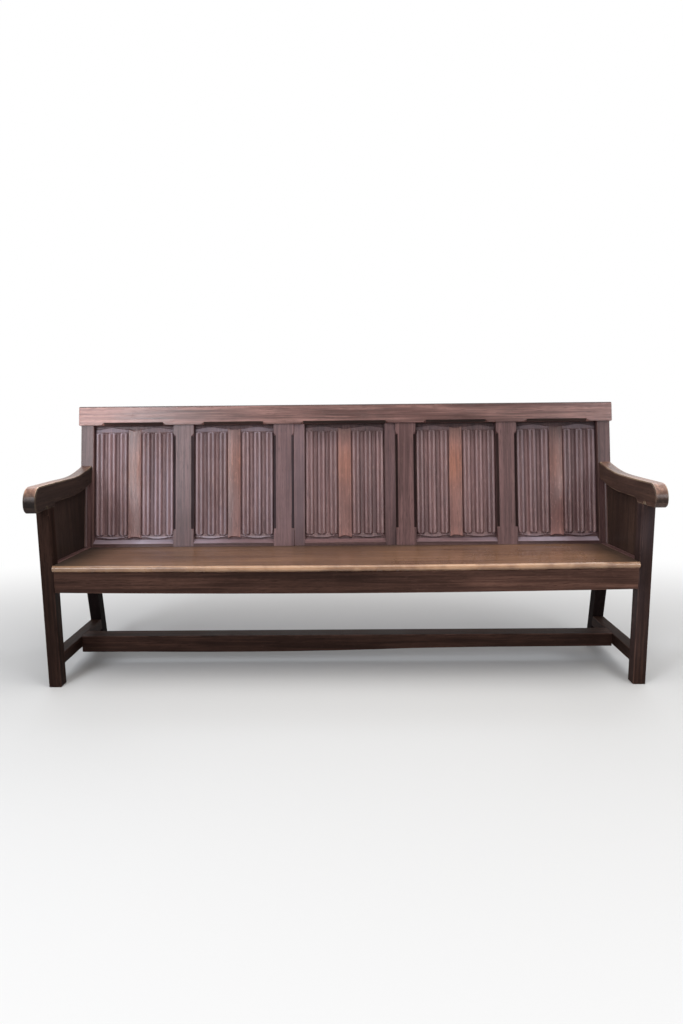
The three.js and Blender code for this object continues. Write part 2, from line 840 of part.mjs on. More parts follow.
// Lower back rail: its sill slopes up from an upright lip to the panels.
function lowerRail() {
  const shape = shapeOf([
    [0, lowerRailFootU],
    [backFrameThickness, lowerRailFootU],
    [backFrameThickness, fieldFootU],
    [panelSetback, fieldFootU],
    [0, sillU],
  ]);
  const reach = backPostInnerX - scribeGap;
  const tenons = sides.map(([, side]) => block(lowerRailTenon(side)));
  return cut(
    join(prism("x", shape, [-reach, reach]), ...tenons),
    ...panelGrooves(),
    ...muntinPlaces.map((x) => block(grown(muntinFootTenon(x), fitGap))),
    ...muntinPlaces.map((x) => footNotch(centred(x, muntinWidth))),
    ...sides.map(([, side]) => footNotch(stripSpan(side))),
  );
}

// Side outline of an upright of the back: its foot laps over the lower rail and is cut to the sill.
function uprightOutline(front, rear) {
  const lap = sillU + (sillRise * footLap) / panelSetback + scribeGap;
  const head = railFootU - scribeGap;
  const foot = [
    [front, seatU + scribeGap],
    [footLap, seatU + scribeGap],
    [footLap, lap],
    [Math.min(panelSetback, rear), fieldFootU + scribeGap],
  ];
  return shapeOf([...foot, [rear, fieldFootU + scribeGap], [rear, head], [front, head]]);
}

// Upright between two panels, with stopped chamfers on its front arrises.
function muntin(x) {
  const shape = uprightOutline(0, backFrameThickness);
  const body = join(
    prism("x", shape, centred(x, muntinWidth)),
    block(muntinHeadTenon(x)),
    block(muntinFootTenon(x)),
  );
  const chamfers = [-1, 1].map((way) =>
    stoppedChamfer(
      "z",
      [seatU + muntinBase, railFootU - muntinHead],
      [x + (way * muntinWidth) / 2, 0],
      [way, -1],
      muntinChamfer,
    ),
  );
  return cut(body, ...chamfers, ...panelGrooves());
}

// Middle of a fold, counted outwards from the centre band.
function foldMiddle(fold) {
  return bandHalfWidth + bandGroove + foldWidth / 2 + fold * foldPitch;
}

// Half of the linenfold section, from the middle of the band outwards: [x, height over the field].
function foldSection() {
  const points = [
    [bandHalfWidth / 2, bandRise + bandCrown],
    [bandHalfWidth, bandRise],
    [bandHalfWidth, 0],
  ];
  const floor = foldRise * hollowRiseShare;
  for (let fold = 0; fold < foldCount; fold += 1) {
    for (const way of [-1, 1]) {
      const crest = foldMiddle(fold) + (way * ridgeSpacing) / 2;
      for (let i = 0; i <= ridgeSteps; i += 1) {
        const angle = Math.PI - (Math.PI * i) / ridgeSteps;
        const ground = way * Math.cos(angle) < 0 ? floor : 0;
        const height = ground + (foldRise - ground) * Math.sin(angle);
        points.push([crest + ridgeHalfWidth * Math.cos(angle), height]);
      }
    }
  }
  return points;
}

// Share of a swing, from 0 at its ends to 1 in its middle.
function swing(share) {
  return (1 - Math.cos(2 * Math.PI * share)) / 2;
}

// Half of the line where band and rolls end, from the middle outwards: [x, distance to the field's edge].
function foldEnds(bandMargin, rollMargin) {
  const points = [];
  for (let i = 0; i < bandEndSteps; i += 1) {
    const way = (i + 1 / 2) / bandEndSteps;
    points.push([(bandHalfWidth + bandGroove / 2) * way, bandMargin + bandEndSweep * (1 - way * way)]);
  }
  const reach = foldWidth + bandGroove;
  for (let fold = 0; fold < foldCount; fold += 1) {
    const start = foldMiddle(fold) - reach / 2;
    for (let i = 0; i <= foldEndSteps; i += 1) {
      const share = i / foldEndSteps;
      points.push([start + reach * share, rollMargin + rollEndSweep * (1 - swing(share))]);
    }
  }
  return points;
}

// Line of the hem beside the band, from the band outwards: [x, distance to the field's edge].
function hemLine(hemMargin) {
  const start = bandHalfWidth + bandGroove / 2;
  const reach = foldMiddle(foldCount - 1) + foldWidth / 2 - start;
  const points = [];
  for (let i = 0; i <= hemSteps; i += 1) {
    const share = i / hemSteps;
    points.push([start + reach * share, hemMargin + hemWave * (1 - swing(share))]);
  }
  return points;
}

function mirrored(points) {
  const other = points.map(([x, value]) => [-x, value]).reverse();
  return [...other, ...points];
}

// The cloth's hem at one end of the carving, on one side of the band. It comes out from under the
// rolls and rises towards its waved edge.
function hem(middle, side, edgeU, inwards, hemMargin, rollMargin) {
  const depth = rollMargin + rollEndSweep;
  const wave = hemLine(hemMargin).map(([x, margin]) => [edgeU + inwards * margin, middle + side * x]);
  const nearX = wave[0][1];
  const farX = wave[wave.length - 1][1];
  const rootU = edgeU + inwards * depth;
  const root = panelSetback + panelEdgeThickness / 2;
  const outline = prism("y", shapeOf([...wave, [rootU, farX], [rootU, nearX]]), [
    panelSetback - foldRise,
    root,
  ]);
  const slope = shapeOf([
    [root, edgeU],
    [root, rootU],
    [panelSetback - hemRootRise, rootU],
    [panelSetback - hemRise, edgeU],
  ]);
  return outline.intersect(prism("x", slope, [Math.min(nearX, farX), Math.max(nearX, farX)]));
}

// The folds stand on the panel's field: their section is drawn up the panel, both ends are carved
// to the curves where the cloth would hang, and the hem shows beyond them.
function linenfoldPanel(bay) {
  const middle = (bay[0] + bay[1]) / 2;
  const root = panelSetback + panelEdgeThickness / 2;
  const section = mirrored(foldSection());
  const widest = section[section.length - 1][0];
  const folds = prism(
    "z",
    shapeOf([
      [middle - widest, root],
      ...section.map(([x, height]) => [middle + x, panelSetback - height]),
      [middle + widest, root],
    ]),
    [fieldFootU, railFootU],
  );
  const headEnds = mirrored(foldEnds(bandHeadMargin, rollHeadMargin));
  const footEnds = mirrored(foldEnds(bandFootMargin, rollFootMargin));
  const carved = shapeOf([
    ...headEnds.map(([x, margin]) => [railFootU - margin, middle + x]),
    ...footEnds.map(([x, margin]) => [fieldFootU + margin, middle + x]).reverse(),
  ]);
  const ends = prism("y", carved, [panelSetback - foldRise - overrun, root + overrun]);
  const hems = sides.flatMap(([, side]) => [
    hem(middle, side, railFootU, -1, hemHeadMargin, rollHeadMargin),
    hem(middle, side, fieldFootU, 1, hemFootMargin, rollFootMargin),
  ]);
  return join(block(panelBoard(bay)), folds.intersect(ends), ...hems);
}

// Plain strip beside the carving of the middle bay.
function stripSpan(side) {
  return across(side, sideBayWidth / 2, centreBayWidth / 2 - fitGap);
}

function centreStrip(side) {
  return prism("x", uprightOutline(stripSetback, panelSetback - fitGap), stripSpan(side));
}

// What lies over an arm's lower edge, near the rear post.
function aboveArmEdge(side) {
  const edge = armUnderCurve(-scribeGap).getPoints(armCurveSteps).map((p) => [p.x, p.y]);
  const headZ = armTop + armRearRise;
  const shape = shapeOf([...edge, [edge[edge.length - 1][0], headZ], [edge[0][0], headZ]]);
  return prism("x", shape, across(side, postInnerX, outerX));
}

// What lies under the top of a side rail, near the rear post.
function underSideRailTop(side) {
  const headZ = (y) => seatTopZ(y) + sideRailProud + scribeGap;
  const far = seatDepth + filletSize;
  const shape = shapeOf([
    [frontPostDepth, railBottom],
    [far, railBottom],
    [far, headZ(far)],
    [frontPostDepth, headZ(frontPostDepth)],
  ]);
  return prism("x", shape, across(side, postInnerX, outerX));
}

// Quarter-round strip in the corner between a rear post and the panel under the arm.
function cornerFillet(side) {
  const x = side * (sidePanelX - fitGap);
  const v = -fitGap;
  const points = [[x, v]];
  for (let i = 0; i <= smallCurveSteps; i += 1) {
    const angle = ((Math.PI / 2) * i) / smallCurveSteps;
    points.push([x - side * filletSize * Math.cos(angle), v - filletSize * Math.sin(angle)]);
  }
  const run = [2 * seatU, armTop - seatHeight];
  const strip = prismGeometry("z", shapeOf(points), run).applyMatrix4(backMatrix);
  return cut(solidOf(strip), aboveArmEdge(side), underSideRailTop(side));
}

for (const [word, side] of sides) {
  place(bench, `front_post_${word}`, frontPost(side), legOak);
  place(bench, `rear_post_${word}`, rearPost(side), legOak);
  place(bench, `side_seat_rail_${word}`, sideRail(side), frameOak);
  place(bench, `side_stretcher_${word}`, sideStretcher(side), legOak);
  place(bench, `arm_${word}`, arm(side), frameOak);
  place(bench, `arm_panel_${word}`, armPanel(side, 0), panelOak);
  place(bench, `corner_fillet_${word}`, cornerFillet(side), frameOak);
}
place(bench, "centre_stretcher", centreStretcher(), legOak);
place(bench, "front_seat_rail", frontRail(), railOak);
place(bench, "rear_seat_rail", rearRail(), hiddenOak);
place(bench, "seat_board", seatBoard(), seatOak);
for (let i = 0; i < bearerCount; i += 1) {
  place(bench, `seat_bearer_${i + 1}`, bearer(i, 0), hiddenOak);
}
for (let i = 0; i < glueBlockCount; i += 1) {
  place(bench, `glue_block_${i + 1}`, glueBlock(i), hiddenOak);
}
place(back, "top_rail", topRail(), railOak);
place(back, "lower_back_rail", lowerRail(), frameOak);
muntinPlaces.forEach((x, i) => place(back, `muntin_${i + 1}`, muntin(x), frameOak));
bays.forEach((bay, i) => place(back, `linenfold_panel_${i + 1}`, linenfoldPanel(bay), panelOak));
for (const [word, side] of sides) {
  place(back, `centre_strip_${word}`, centreStrip(side), frameOak);
}

// The whole is moved so that the origin is under the middle of its box.
const group = new THREE.Group();
group.add(bench);
group.updateMatrixWorld(true);
const box = new THREE.Box3().setFromObject(bench, true);
const middle = box.getCenter(new THREE.Vector3());
bench.position.set(-middle.x, -middle.y, -box.min.z);

export default group;
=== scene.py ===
"""A long oak settle bench with five linenfold panels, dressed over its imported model."""
import functools
import math
import random

import bmesh
import bpy
import numpy as np
from mathutils import Matrix, Vector


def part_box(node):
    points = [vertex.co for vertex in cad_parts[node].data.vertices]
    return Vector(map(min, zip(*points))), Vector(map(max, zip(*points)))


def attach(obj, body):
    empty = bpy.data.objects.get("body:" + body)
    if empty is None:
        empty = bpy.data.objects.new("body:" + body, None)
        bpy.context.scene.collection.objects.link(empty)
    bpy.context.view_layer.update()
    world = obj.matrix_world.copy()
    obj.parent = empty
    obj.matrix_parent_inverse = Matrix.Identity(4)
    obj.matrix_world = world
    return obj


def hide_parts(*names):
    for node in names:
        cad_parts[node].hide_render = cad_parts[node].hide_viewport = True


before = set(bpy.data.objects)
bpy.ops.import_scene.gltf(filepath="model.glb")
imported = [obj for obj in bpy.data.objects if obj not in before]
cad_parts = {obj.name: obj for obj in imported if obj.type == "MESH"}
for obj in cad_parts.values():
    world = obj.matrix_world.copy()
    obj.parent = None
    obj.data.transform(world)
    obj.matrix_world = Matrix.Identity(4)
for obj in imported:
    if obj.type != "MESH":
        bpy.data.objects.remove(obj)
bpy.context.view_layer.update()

bl_info = {
    "name": "Linenfold Settle Bench",
    "version": (1, 0, 0),
    "blender": (4, 5, 0),
    "location": "3D View > Sidebar > Settle",
    "description": "Finishes the settle bench's oak pieces, its carved panels and its studio",
    "category": "Object",
}

# The raked back: its angle, where its face meets the seat, and its own directions up the rake and into the wood
RAKE = math.radians(11.3)
SEAT_HEIGHT, SEAT_DEPTH = 0.44, 0.37
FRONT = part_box("front_post_left")[0].y
BACK_FOOT = Vector((0, FRONT + SEAT_DEPTH, SEAT_HEIGHT))
UP_RAKE = Vector((0, math.sin(RAKE), math.cos(RAKE)))
INTO_BACK = Vector((0, math.cos(RAKE), -math.sin(RAKE)))

# The way that each board's grain runs, a way across it, and the board's slot
X, Y, Z = Vector((1, 0, 0)), Vector((0, 1, 0)), Vector((0, 0, 1))
BOARDS = {}
for side in ("left", "right"):
    BOARDS["front_post_" + side] = (Z, X, "oak_legs")
    BOARDS["rear_post_" + side] = (UP_RAKE, X, "oak_legs")
    BOARDS["side_seat_rail_" + side] = (Y, Z, "oak_frame")
    BOARDS["side_stretcher_" + side] = (Y, Z, "oak_legs")
    BOARDS["arm_" + side] = (Y, X, "oak_frame")
    BOARDS["arm_panel_" + side] = (Z, Y, "oak_panels")
    BOARDS["corner_fillet_" + side] = (UP_RAKE, X, "oak_frame")
    BOARDS["centre_strip_" + side] = (UP_RAKE, X, "oak_frame")
BOARDS["centre_stretcher"] = (X, Y, "oak_legs")
BOARDS["front_seat_rail"] = (X, Z, "oak_rails")
BOARDS["rear_seat_rail"] = (X, Z, "oak_inside")
BOARDS["lower_back_rail"] = (X, Z, "oak_frame")
BOARDS["top_rail"] = (X, Z, "oak_rails")
BOARDS["seat_board"] = (X, Y, "oak_seat")
for i in range(1, 5):
    BOARDS["muntin_%d" % i] = (UP_RAKE, X, "oak_frame")
    BOARDS["glue_block_%d" % i] = (X, Y, "oak_inside")
for i in range(1, 4):
    BOARDS["seat_bearer_%d" % i] = (Y, X, "oak_inside")

# The boards that each step finishes
GROUPS = {step: [name for name in BOARDS if name.startswith(starts)] for step, starts in {
    "legs": ("front_post", "rear_post", "side_stretcher", "centre_stretcher"),
    "seat": ("seat_", "front_seat", "rear_seat", "side_seat", "glue_"),
    "back": ("top_rail", "lower_back", "muntin", "centre_strip"),
    "arms": ("arm_", "corner_"),
}.items()}


def both(name, value):
    return {name + "_left": value, name + "_right": value}


# Boards that are dressed otherwise than the rest of their slot
DRESSED_AS = {"front_seat_rail": "oak_legs", "rear_seat_rail": "oak_frame", **both("rear_post", "oak_frame"),
              **both("arm", "oak_arms"), **both("arm_panel", "oak_arms")}
# How much paler or darker some boards are drawn than the rest of their finish: partly their own staining and partly
# painted light and shade, as on the front posts and the arm panels
BOARD_TONE_AND_LIGHT = {"front_seat_rail": 2.2, "arm_panel_left": 0.35, "arm_panel_right": 0.56, "arm_left": 0.31,
         "arm_right": 0.85, "centre_strip_left": 1.1, "centre_strip_right": 0.72, "centre_stretcher": 1.6,
         "muntin_2": 1.15, "muntin_4": 0.95, "corner_fillet_left": 0.75, "corner_fillet_right": 0.8,
         "rear_post_left": 0.9, "rear_post_right": 0.62, "front_post_left": 0.8, "front_post_right": 1.35}
# Boards whose edges are worn rounder than the others', by how many times
WORN_ROUND = {"top_rail": 1.7, "centre_stretcher": 2.0, **both("side_stretcher", 2.0),
              **both("front_post", 2.2), **both("arm", 1.6)}
# Boards with a pale painted sheen on them, and how much
PAINTED_SHEEN_BY_BOARD = {"muntin_1": 0.05, "muntin_2": 0.07, "centre_strip_left": 0.1, "centre_strip_right": 0.04}


# Node trees

class Tree:
    """Builds a node tree with short calls."""

    def __init__(self, tree):
        self.tree = tree

    def feed(self, socket, value):
        if isinstance(value, bpy.types.NodeSocket):
            self.tree.links.new(value, socket)
        else:
            socket.default_value = value

    def node(self, kind, inputs=None, **settings):
        """A new node with its settings made, then its inputs fed by name or number."""
        made = self.tree.nodes.new(kind)
        for key, value in settings.items():
            setattr(made, key, value)
        for key, value in (inputs or {}).items():
            self.feed(made.inputs[key], value)
        return made

    # Each of the calls below returns the socket that it makes.

    def math(self, operation, *values):
        return self.node("ShaderNodeMath", dict(enumerate(values)), operation=operation).outputs[0]

    add = functools.partialmethod(math, "ADD")
    sub = functools.partialmethod(math, "SUBTRACT")
    mul = functools.partialmethod(math, "MULTIPLY")
    div = functools.partialmethod(math, "DIVIDE")
    least = functools.partialmethod(math, "MINIMUM")
    most = functools.partialmethod(math, "MAXIMUM")
    size = functools.partialmethod(math, "ABSOLUTE")
    under = functools.partialmethod(math, "LESS_THAN")
    over = functools.partialmethod(math, "GREATER_THAN")

    def clamp(self, value):
        return self.least(self.most(value, 0.0), 1.0)

    def between(self, value, low, high):
        return self.mul(self.over(value, low), self.under(value, high))

    def ramp(self, value, low, high, to_low=0.0, to_high=1.0, smooth=True):
        inputs = dict(enumerate((value, low, high, to_low, to_high)))
        kind = "SMOOTHSTEP" if smooth else "LINEAR"
        return self.node("ShaderNodeMapRange", inputs, interpolation_type=kind).outputs[0]

    def noise(self, vector, scale, detail=2.0, roughness=0.5, seed=None, distortion=0.0):
        inputs = {"Vector": vector, "Scale": scale, "Detail": detail, "Roughness": roughness,
                  "Distortion": distortion}
        if seed is not None:
            inputs["W"] = seed
        kind = "3D" if seed is None else "4D"
        return self.node("ShaderNodeTexNoise", inputs, noise_dimensions=kind).outputs["Fac"]

    def stretched(self, vector, scale):
        return self.node("ShaderNodeVectorMath", {0: vector, 1: scale}, operation="MULTIPLY").outputs[0]

    def vector(self, x=0.0, y=0.0, z=0.0):
        return self.node("ShaderNodeCombineXYZ", {0: x, 1: y, 2: z}).outputs[0]

    def mix(self, factor, a, b, blend="MIX"):
        inputs = {"Factor": factor, 6: a, 7: b}
        return self.node("ShaderNodeMix", inputs, data_type="RGBA", blend_type=blend).outputs[2]

    def shade(self, colour, factor):
        """The colour times a plain number."""
        grey = self.node("ShaderNodeCombineColor", {0: factor, 1: factor, 2: factor})
        return self.mix(1.0, colour, grey.outputs[0], "MULTIPLY")

    def attribute(self, name):
        return self.node("ShaderNodeAttribute", attribute_name=name).outputs["Fac"]

    def place(self):
        return self.node("ShaderNodeTexCoord").outputs["Object"]

    def parts(self, vector):
        """The three sockets of a vector's parts."""
        return self.node("ShaderNodeSeparateXYZ", {0: vector}).outputs


def emptied_tree(owner):
    """The node tree of a material or a world, with nothing in it."""
    owner.use_nodes = True
    owner.node_tree.nodes.clear()
    return Tree(owner.node_tree)


def shader_group(name, inputs, outputs):
    group = bpy.data.node_groups.new(name, "ShaderNodeTree")
    for label, kind, value in inputs:
        socket = group.interface.new_socket(label, in_out="INPUT", socket_type=kind)
        if value is not None:
            socket.default_value = value
    for label in outputs:
        group.interface.new_socket(label, in_out="OUTPUT", socket_type="NodeSocketFloat")
    return group, Tree(group), group.nodes.new("NodeGroupInput").outputs, group.nodes.new("NodeGroupOutput").inputs


def shared_group(name, build):
    """A group of nodes, built the first time that a material asks for it."""
    return bpy.data.node_groups.get(name) or build(name)


def oak_grain_group(name):
    """Figure of sawn oak along the first coordinate: growth bands, fibres, pores and ray flecks."""
    inputs = [("Board", "NodeSocketVector", None), ("Band width", "NodeSocketFloat", 0.02)]
    group, t, given, out = shader_group(name, inputs, ["Tone", "Fibre", "Pores", "Fleck"])
    board = given["Board"]
    across = t.div(1.0, given["Band width"])
    # The bands are some twenty times as long as they are wide.
    scale = t.vector(t.mul(across, 0.045), across, across)
    bands = t.noise(t.stretched(board, scale), 1.0, 3.0, 0.55, distortion=0.5)
    broad = t.noise(t.stretched(board, (0.9, 7.0, 7.0)), 1.0, 2.0, 0.5)
    fibres = t.noise(t.stretched(board, (7.0, 330.0, 330.0)), 1.0, 3.0, 0.6)
    streaks = t.noise(t.stretched(board, (2.2, 95.0, 95.0)), 1.0, 3.0, 0.6)
    tone = t.add(t.mul(bands, 0.42), t.add(t.mul(streaks, 0.36), t.mul(broad, 0.22)))
    t.feed(out["Tone"], t.ramp(tone, 0.4, 0.62))
    t.feed(out["Fibre"], t.ramp(fibres, 0.3, 0.7, smooth=False))
    pores = t.noise(t.stretched(board, (26.0, 900.0, 900.0)), 1.0, 1.0, 0.5)
    t.feed(out["Pores"], t.mul(t.ramp(pores, 0.57, 0.68), t.ramp(bands, 0.35, 0.6)))
    fleck = t.noise(t.stretched(board, (38.0, 120.0, 120.0)), 1.0, 2.0, 0.6, distortion=0.8)
    t.feed(out["Fleck"], t.ramp(fleck, 0.56, 0.7))
    return group


def hand_wear_group(name):
    """Where hands, clothes and dusters have rubbed the arrises, broken up so that it is uneven."""
    inputs = [("Place", "NodeSocketVector", None), ("Arris", "NodeSocketFloat", 0.0),
              ("Amount", "NodeSocketFloat", 0.6)]
    group, t, given, out = shader_group(name, inputs, ["Rubbed", "Patches", "Dents"])
    uneven = t.noise(given["Place"], 9.0, 3.0, 0.6)
    t.feed(out["Rubbed"], t.mul(t.mul(given["Arris"], given["Amount"]), t.ramp(uneven, 0.33, 0.62)))
    t.feed(out["Patches"], t.noise(given["Place"], 3.2, 3.0, 0.55))
    t.feed(out["Dents"], t.ramp(t.noise(given["Place"], 46.0, 2.0, 0.5), 0.66, 0.8))
    return group


# How backs and hands warmed the oak, and the pale bluish colour of the painted sheen on the sills and in the ends of
# the carving
WARMED = (1.42, 1.05, 0.72, 1.0)
PAINTED_SHEEN_COLOUR = (0.42, 0.37, 0.45, 1.0)
# Pores: how much they show, how dark they are beside the dark bands, and how much rougher
PORES_SHOW, PORE_SHADE, PORE_ROUGHNESS = 0.75, 0.35, 0.2
# How much rougher dirt and leaning make the polish, and how much smoother rubbing does
DIRT_ROUGHNESS, LEANING_ROUGHNESS, RUBBING_SHINE = 0.38, 0.1, 0.1
# Height over the floor where the polish of the upper frame begins and is full; under it a finish with a low end is
# darkened as painted shade under the seat
POLISH_AND_LIGHT_BEGIN, POLISH_AND_LIGHT_FULL = 0.35, 0.41
# Depth of the relief that only the shader shows
FINE_RELIEF = 0.0006


def oak_material(name, colours, finish):
    """Stained oak under polish, with painted light, shade and sheen laid into its colour. The three colours run from
    the dark bands to the rubbed arrises.
    """
    material = bpy.data.materials.new(name)
    t = emptied_tree(material)
    place = t.place()
    board = t.node("ShaderNodeAttribute", attribute_name="board").outputs["Vector"]
    grain = t.node("ShaderNodeGroup", {"Board": board, "Band width": finish["band_width"]},
                   node_tree=shared_group("Oak grain", oak_grain_group)).outputs
    wear = t.node("ShaderNodeGroup", {"Place": place, "Arris": t.attribute("arris"), "Amount": finish["wear"]},
                  node_tree=shared_group("Hand wear", hand_wear_group)).outputs

    dark, light, rubbed = ((*c, 1.0) for c in colours)
    colour = t.mix(grain["Tone"], dark, light)
    colour = t.shade(colour, t.ramp(wear["Patches"], 0.3, 0.7, 1 - finish["patches"], 1 + finish["patches"]))
    colour = t.shade(colour, t.ramp(grain["Fibre"], 0.0, 1.0, 1 - finish["fibre"], 1 + finish["fibre"]))
    colour = t.mix(t.mul(grain["Fleck"], finish["fleck"]), colour, rubbed)
    colour = t.mix(t.mul(grain["Pores"], PORES_SHOW), colour, (*(v * PORE_SHADE for v in dark[:3]), 1.0))
    colour = t.mix(wear["Rubbed"], colour, rubbed)
    # Painted shade under the seat: low down, a finish with a low end is darkened, and its coat thinned.
    polish_and_light = t.ramp(t.parts(place)[2], POLISH_AND_LIGHT_BEGIN, POLISH_AND_LIGHT_FULL, finish.get("low", 1.0), 1.0)
    # Painted light and shade, stored together with each board's staining, scale the colour here.
    stain_and_painted_light = t.attribute("stain_and_light")
    colour = t.shade(colour, t.mul(stain_and_painted_light, polish_and_light))
    leaned_on = t.attribute("leaned_on")
    colour = t.mix(leaned_on, colour, t.mix(1.0, colour, WARMED, "MULTIPLY"))
    # Painted sheen: a pale bluish colour laid over the oak where the sheen attribute is set.
    sheen_amount = t.mul(t.attribute("painted_sheen"), t.ramp(wear["Patches"], 0.3, 0.65, 0.35, 1.15))
    colour = t.mix(sheen_amount, colour, PAINTED_SHEEN_COLOUR)

    clean = t.sub(t.least(stain_and_painted_light, 1.0), t.attribute("dirt"))
    rough = t.ramp(wear["Patches"], 0.25, 0.75, *finish["roughness"])
    rough = t.add(rough, t.mul(grain["Pores"], PORE_ROUGHNESS))
    rough = t.add(rough, t.add(t.mul(t.sub(1.0, clean), DIRT_ROUGHNESS), t.mul(leaned_on, LEANING_ROUGHNESS)))
    relief = t.sub(t.mul(grain["Fibre"], 0.45), t.add(grain["Pores"], wear["Dents"]))
    bump = t.node("ShaderNodeBump", {"Distance": FINE_RELIEF, "Strength": finish["bump"],
                                     "Height": t.add(relief, t.mul(grain["Tone"], 0.5))})
    shader = t.node("ShaderNodeBsdfPrincipled", {
        "Base Color": colour, "Roughness": t.sub(rough, t.mul(wear["Rubbed"], RUBBING_SHINE)),
        "Specular IOR Level": finish["specular"], "Coat Roughness": finish["coat_roughness"],
        "Normal": bump.outputs[0],
    })
    if finish["coat"] > 0:
        t.feed(shader.inputs["Coat Weight"], t.mul(t.mul(polish_and_light, clean), finish["coat"]))
    t.node("ShaderNodeOutputMaterial", {"Surface": shader.outputs[0]})
    return material


def oak(finish):
    """The material of a finish, made the first time that a piece asks for it."""
    name = "settle_" + finish
    if name in bpy.data.materials:
        return bpy.data.materials[name]
    finishes = bpy.context.scene.settle_finishes
    colours = [tuple(getattr(finishes, "%s_%s" % (finish, part))) for part in SHADE_PARTS]
    return oak_material(name, colours, FINISHES[finish])


# How each finish shows its grain, its wear and its polish, and how dark the one with a low end is drawn under the
# seat as painted shade
FINISHES = {
    "oak_frame": dict(band_width=0.02, wear=0.4, patches=0.12, fibre=0.12, fleck=0.1, roughness=(0.42, 0.52),
                      specular=0.1, coat=0.65, coat_roughness=0.34, bump=0.35, low=0.16),
    "oak_legs": dict(band_width=0.02, wear=0.4, patches=0.16, fibre=0.14, fleck=0.05, roughness=(0.46, 0.6),
                     specular=0.05, coat=0.0, coat_roughness=0.35, bump=0.4),
    "oak_arms": dict(band_width=0.018, wear=0.6, patches=0.2, fibre=0.14, fleck=0.05, roughness=(0.36, 0.48),
                     specular=0.2, coat=0.3, coat_roughness=0.24, bump=0.35),
    "oak_panels": dict(band_width=0.03, wear=0.3, patches=0.08, fibre=0.14, fleck=0.35, roughness=(0.32, 0.44),
                       specular=0.4, coat=0.32, coat_roughness=0.26, bump=0.5),
    "oak_seat": dict(band_width=0.03, wear=0.5, patches=0.12, fibre=0.1, fleck=0.12, roughness=(0.24, 0.36),
                     specular=0.5, coat=0.35, coat_roughness=0.16, bump=0.2),
    "oak_rails": dict(band_width=0.018, wear=0.6, patches=0.22, fibre=0.18, fleck=0.05, roughness=(0.32, 0.44),
                      specular=0.4, coat=0.3, coat_roughness=0.26, bump=0.45),
    "oak_inside": dict(band_width=0.02, wear=0.2, patches=0.12, fibre=0.12, fleck=0.1, roughness=(0.7, 0.85),
                       specular=0.4, coat=0.0, coat_roughness=0.5, bump=0.5),
}


# Meshes

def linked(name, data):
    """A new object in the scene."""
    obj = bpy.data.objects.new(name, data)
    bpy.context.scene.collection.objects.link(obj)
    return obj


def piece_from(name, mesh, slot, nodes, finish=None):
    """Links a mesh as a finished piece that stands for its CAD nodes."""
    piece = linked(name, mesh)
    mesh.materials.clear()
    mesh.materials.append(oak(finish or slot))
    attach(piece, "root")
    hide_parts(*nodes)
    return piece


def points_of(mesh):
    """The mesh's points as rows."""
    points = np.zeros(len(mesh.vertices) * 3, np.float32)
    mesh.vertices.foreach_get("co", points)
    return points.reshape(-1, 3)


def lay_grain(mesh, along, across, seed):
    """Stores each point's place in its own board, along the grain first, and moves it to a board of its own."""
    chance = random.Random(seed)
    shift = np.array([chance.uniform(-9, 9) for _ in range(3)])
    a, b = along.normalized(), across.normalized()
    c = a.cross(b).normalized()
    axes = np.array([a, b, c])
    places = points_of(mesh) @ axes.T + shift
    layer = mesh.attributes.new("board", "FLOAT_VECTOR", "POINT")
    layer.data.foreach_set("vector", places.astype(np.float32).ravel())


def store(mesh, name, values, domain="CORNER"):
    layer = mesh.attributes.new(name, "FLOAT", domain)
    layer.data.foreach_set("value", values.astype(np.float32))


def even_step(value, low, high):
    """How far a value has come from low to high, from 0 to 1."""
    return min(max((value - low) / (high - low), 0.0), 1.0)


def soft_step(value, low, high):
    share = even_step(value, low, high)
    return share * share * (3 - 2 * share)


def hump(value, middle, half):
    """1 in the middle, falling to 0 at half the hump's width."""
    return max(1 - ((value - middle) / half) ** 2, 0)


# Places in the bench's frame, in metres
SCROLL_FRONT = -0.256    # where the arms begin to roll over
SEAT_BACK = 0.165        # the seat's last line before the back
REAR_LEG_TOP = 0.36      # under it the rear posts stand dark
WAX_HEAPS = 0.81         # how far from the middle wax has heaped on the outer sills
CHAMFER_AREA = 0.0004    # least area of a stopped chamfer's face
CHAMFER_FACING = (0.3, 0.95)    # how far a chamfer faces the back's own way
# Painted shade on the stopped chamfers of the muntins and the top rail, which face aside
CHAMFER_PAINTED_SHADE = 0.2
# Painted shade on the rear posts under the seat: the sides that face the front, by post, and the lift given to the
# sides turned away
LEG_PAINTED_SHADE = {"left": 0.38, "right": 0.85, "turned away": 2.6}
LEG_DIRT, TURNED_LEG_DIRT = 0.6, 0.3


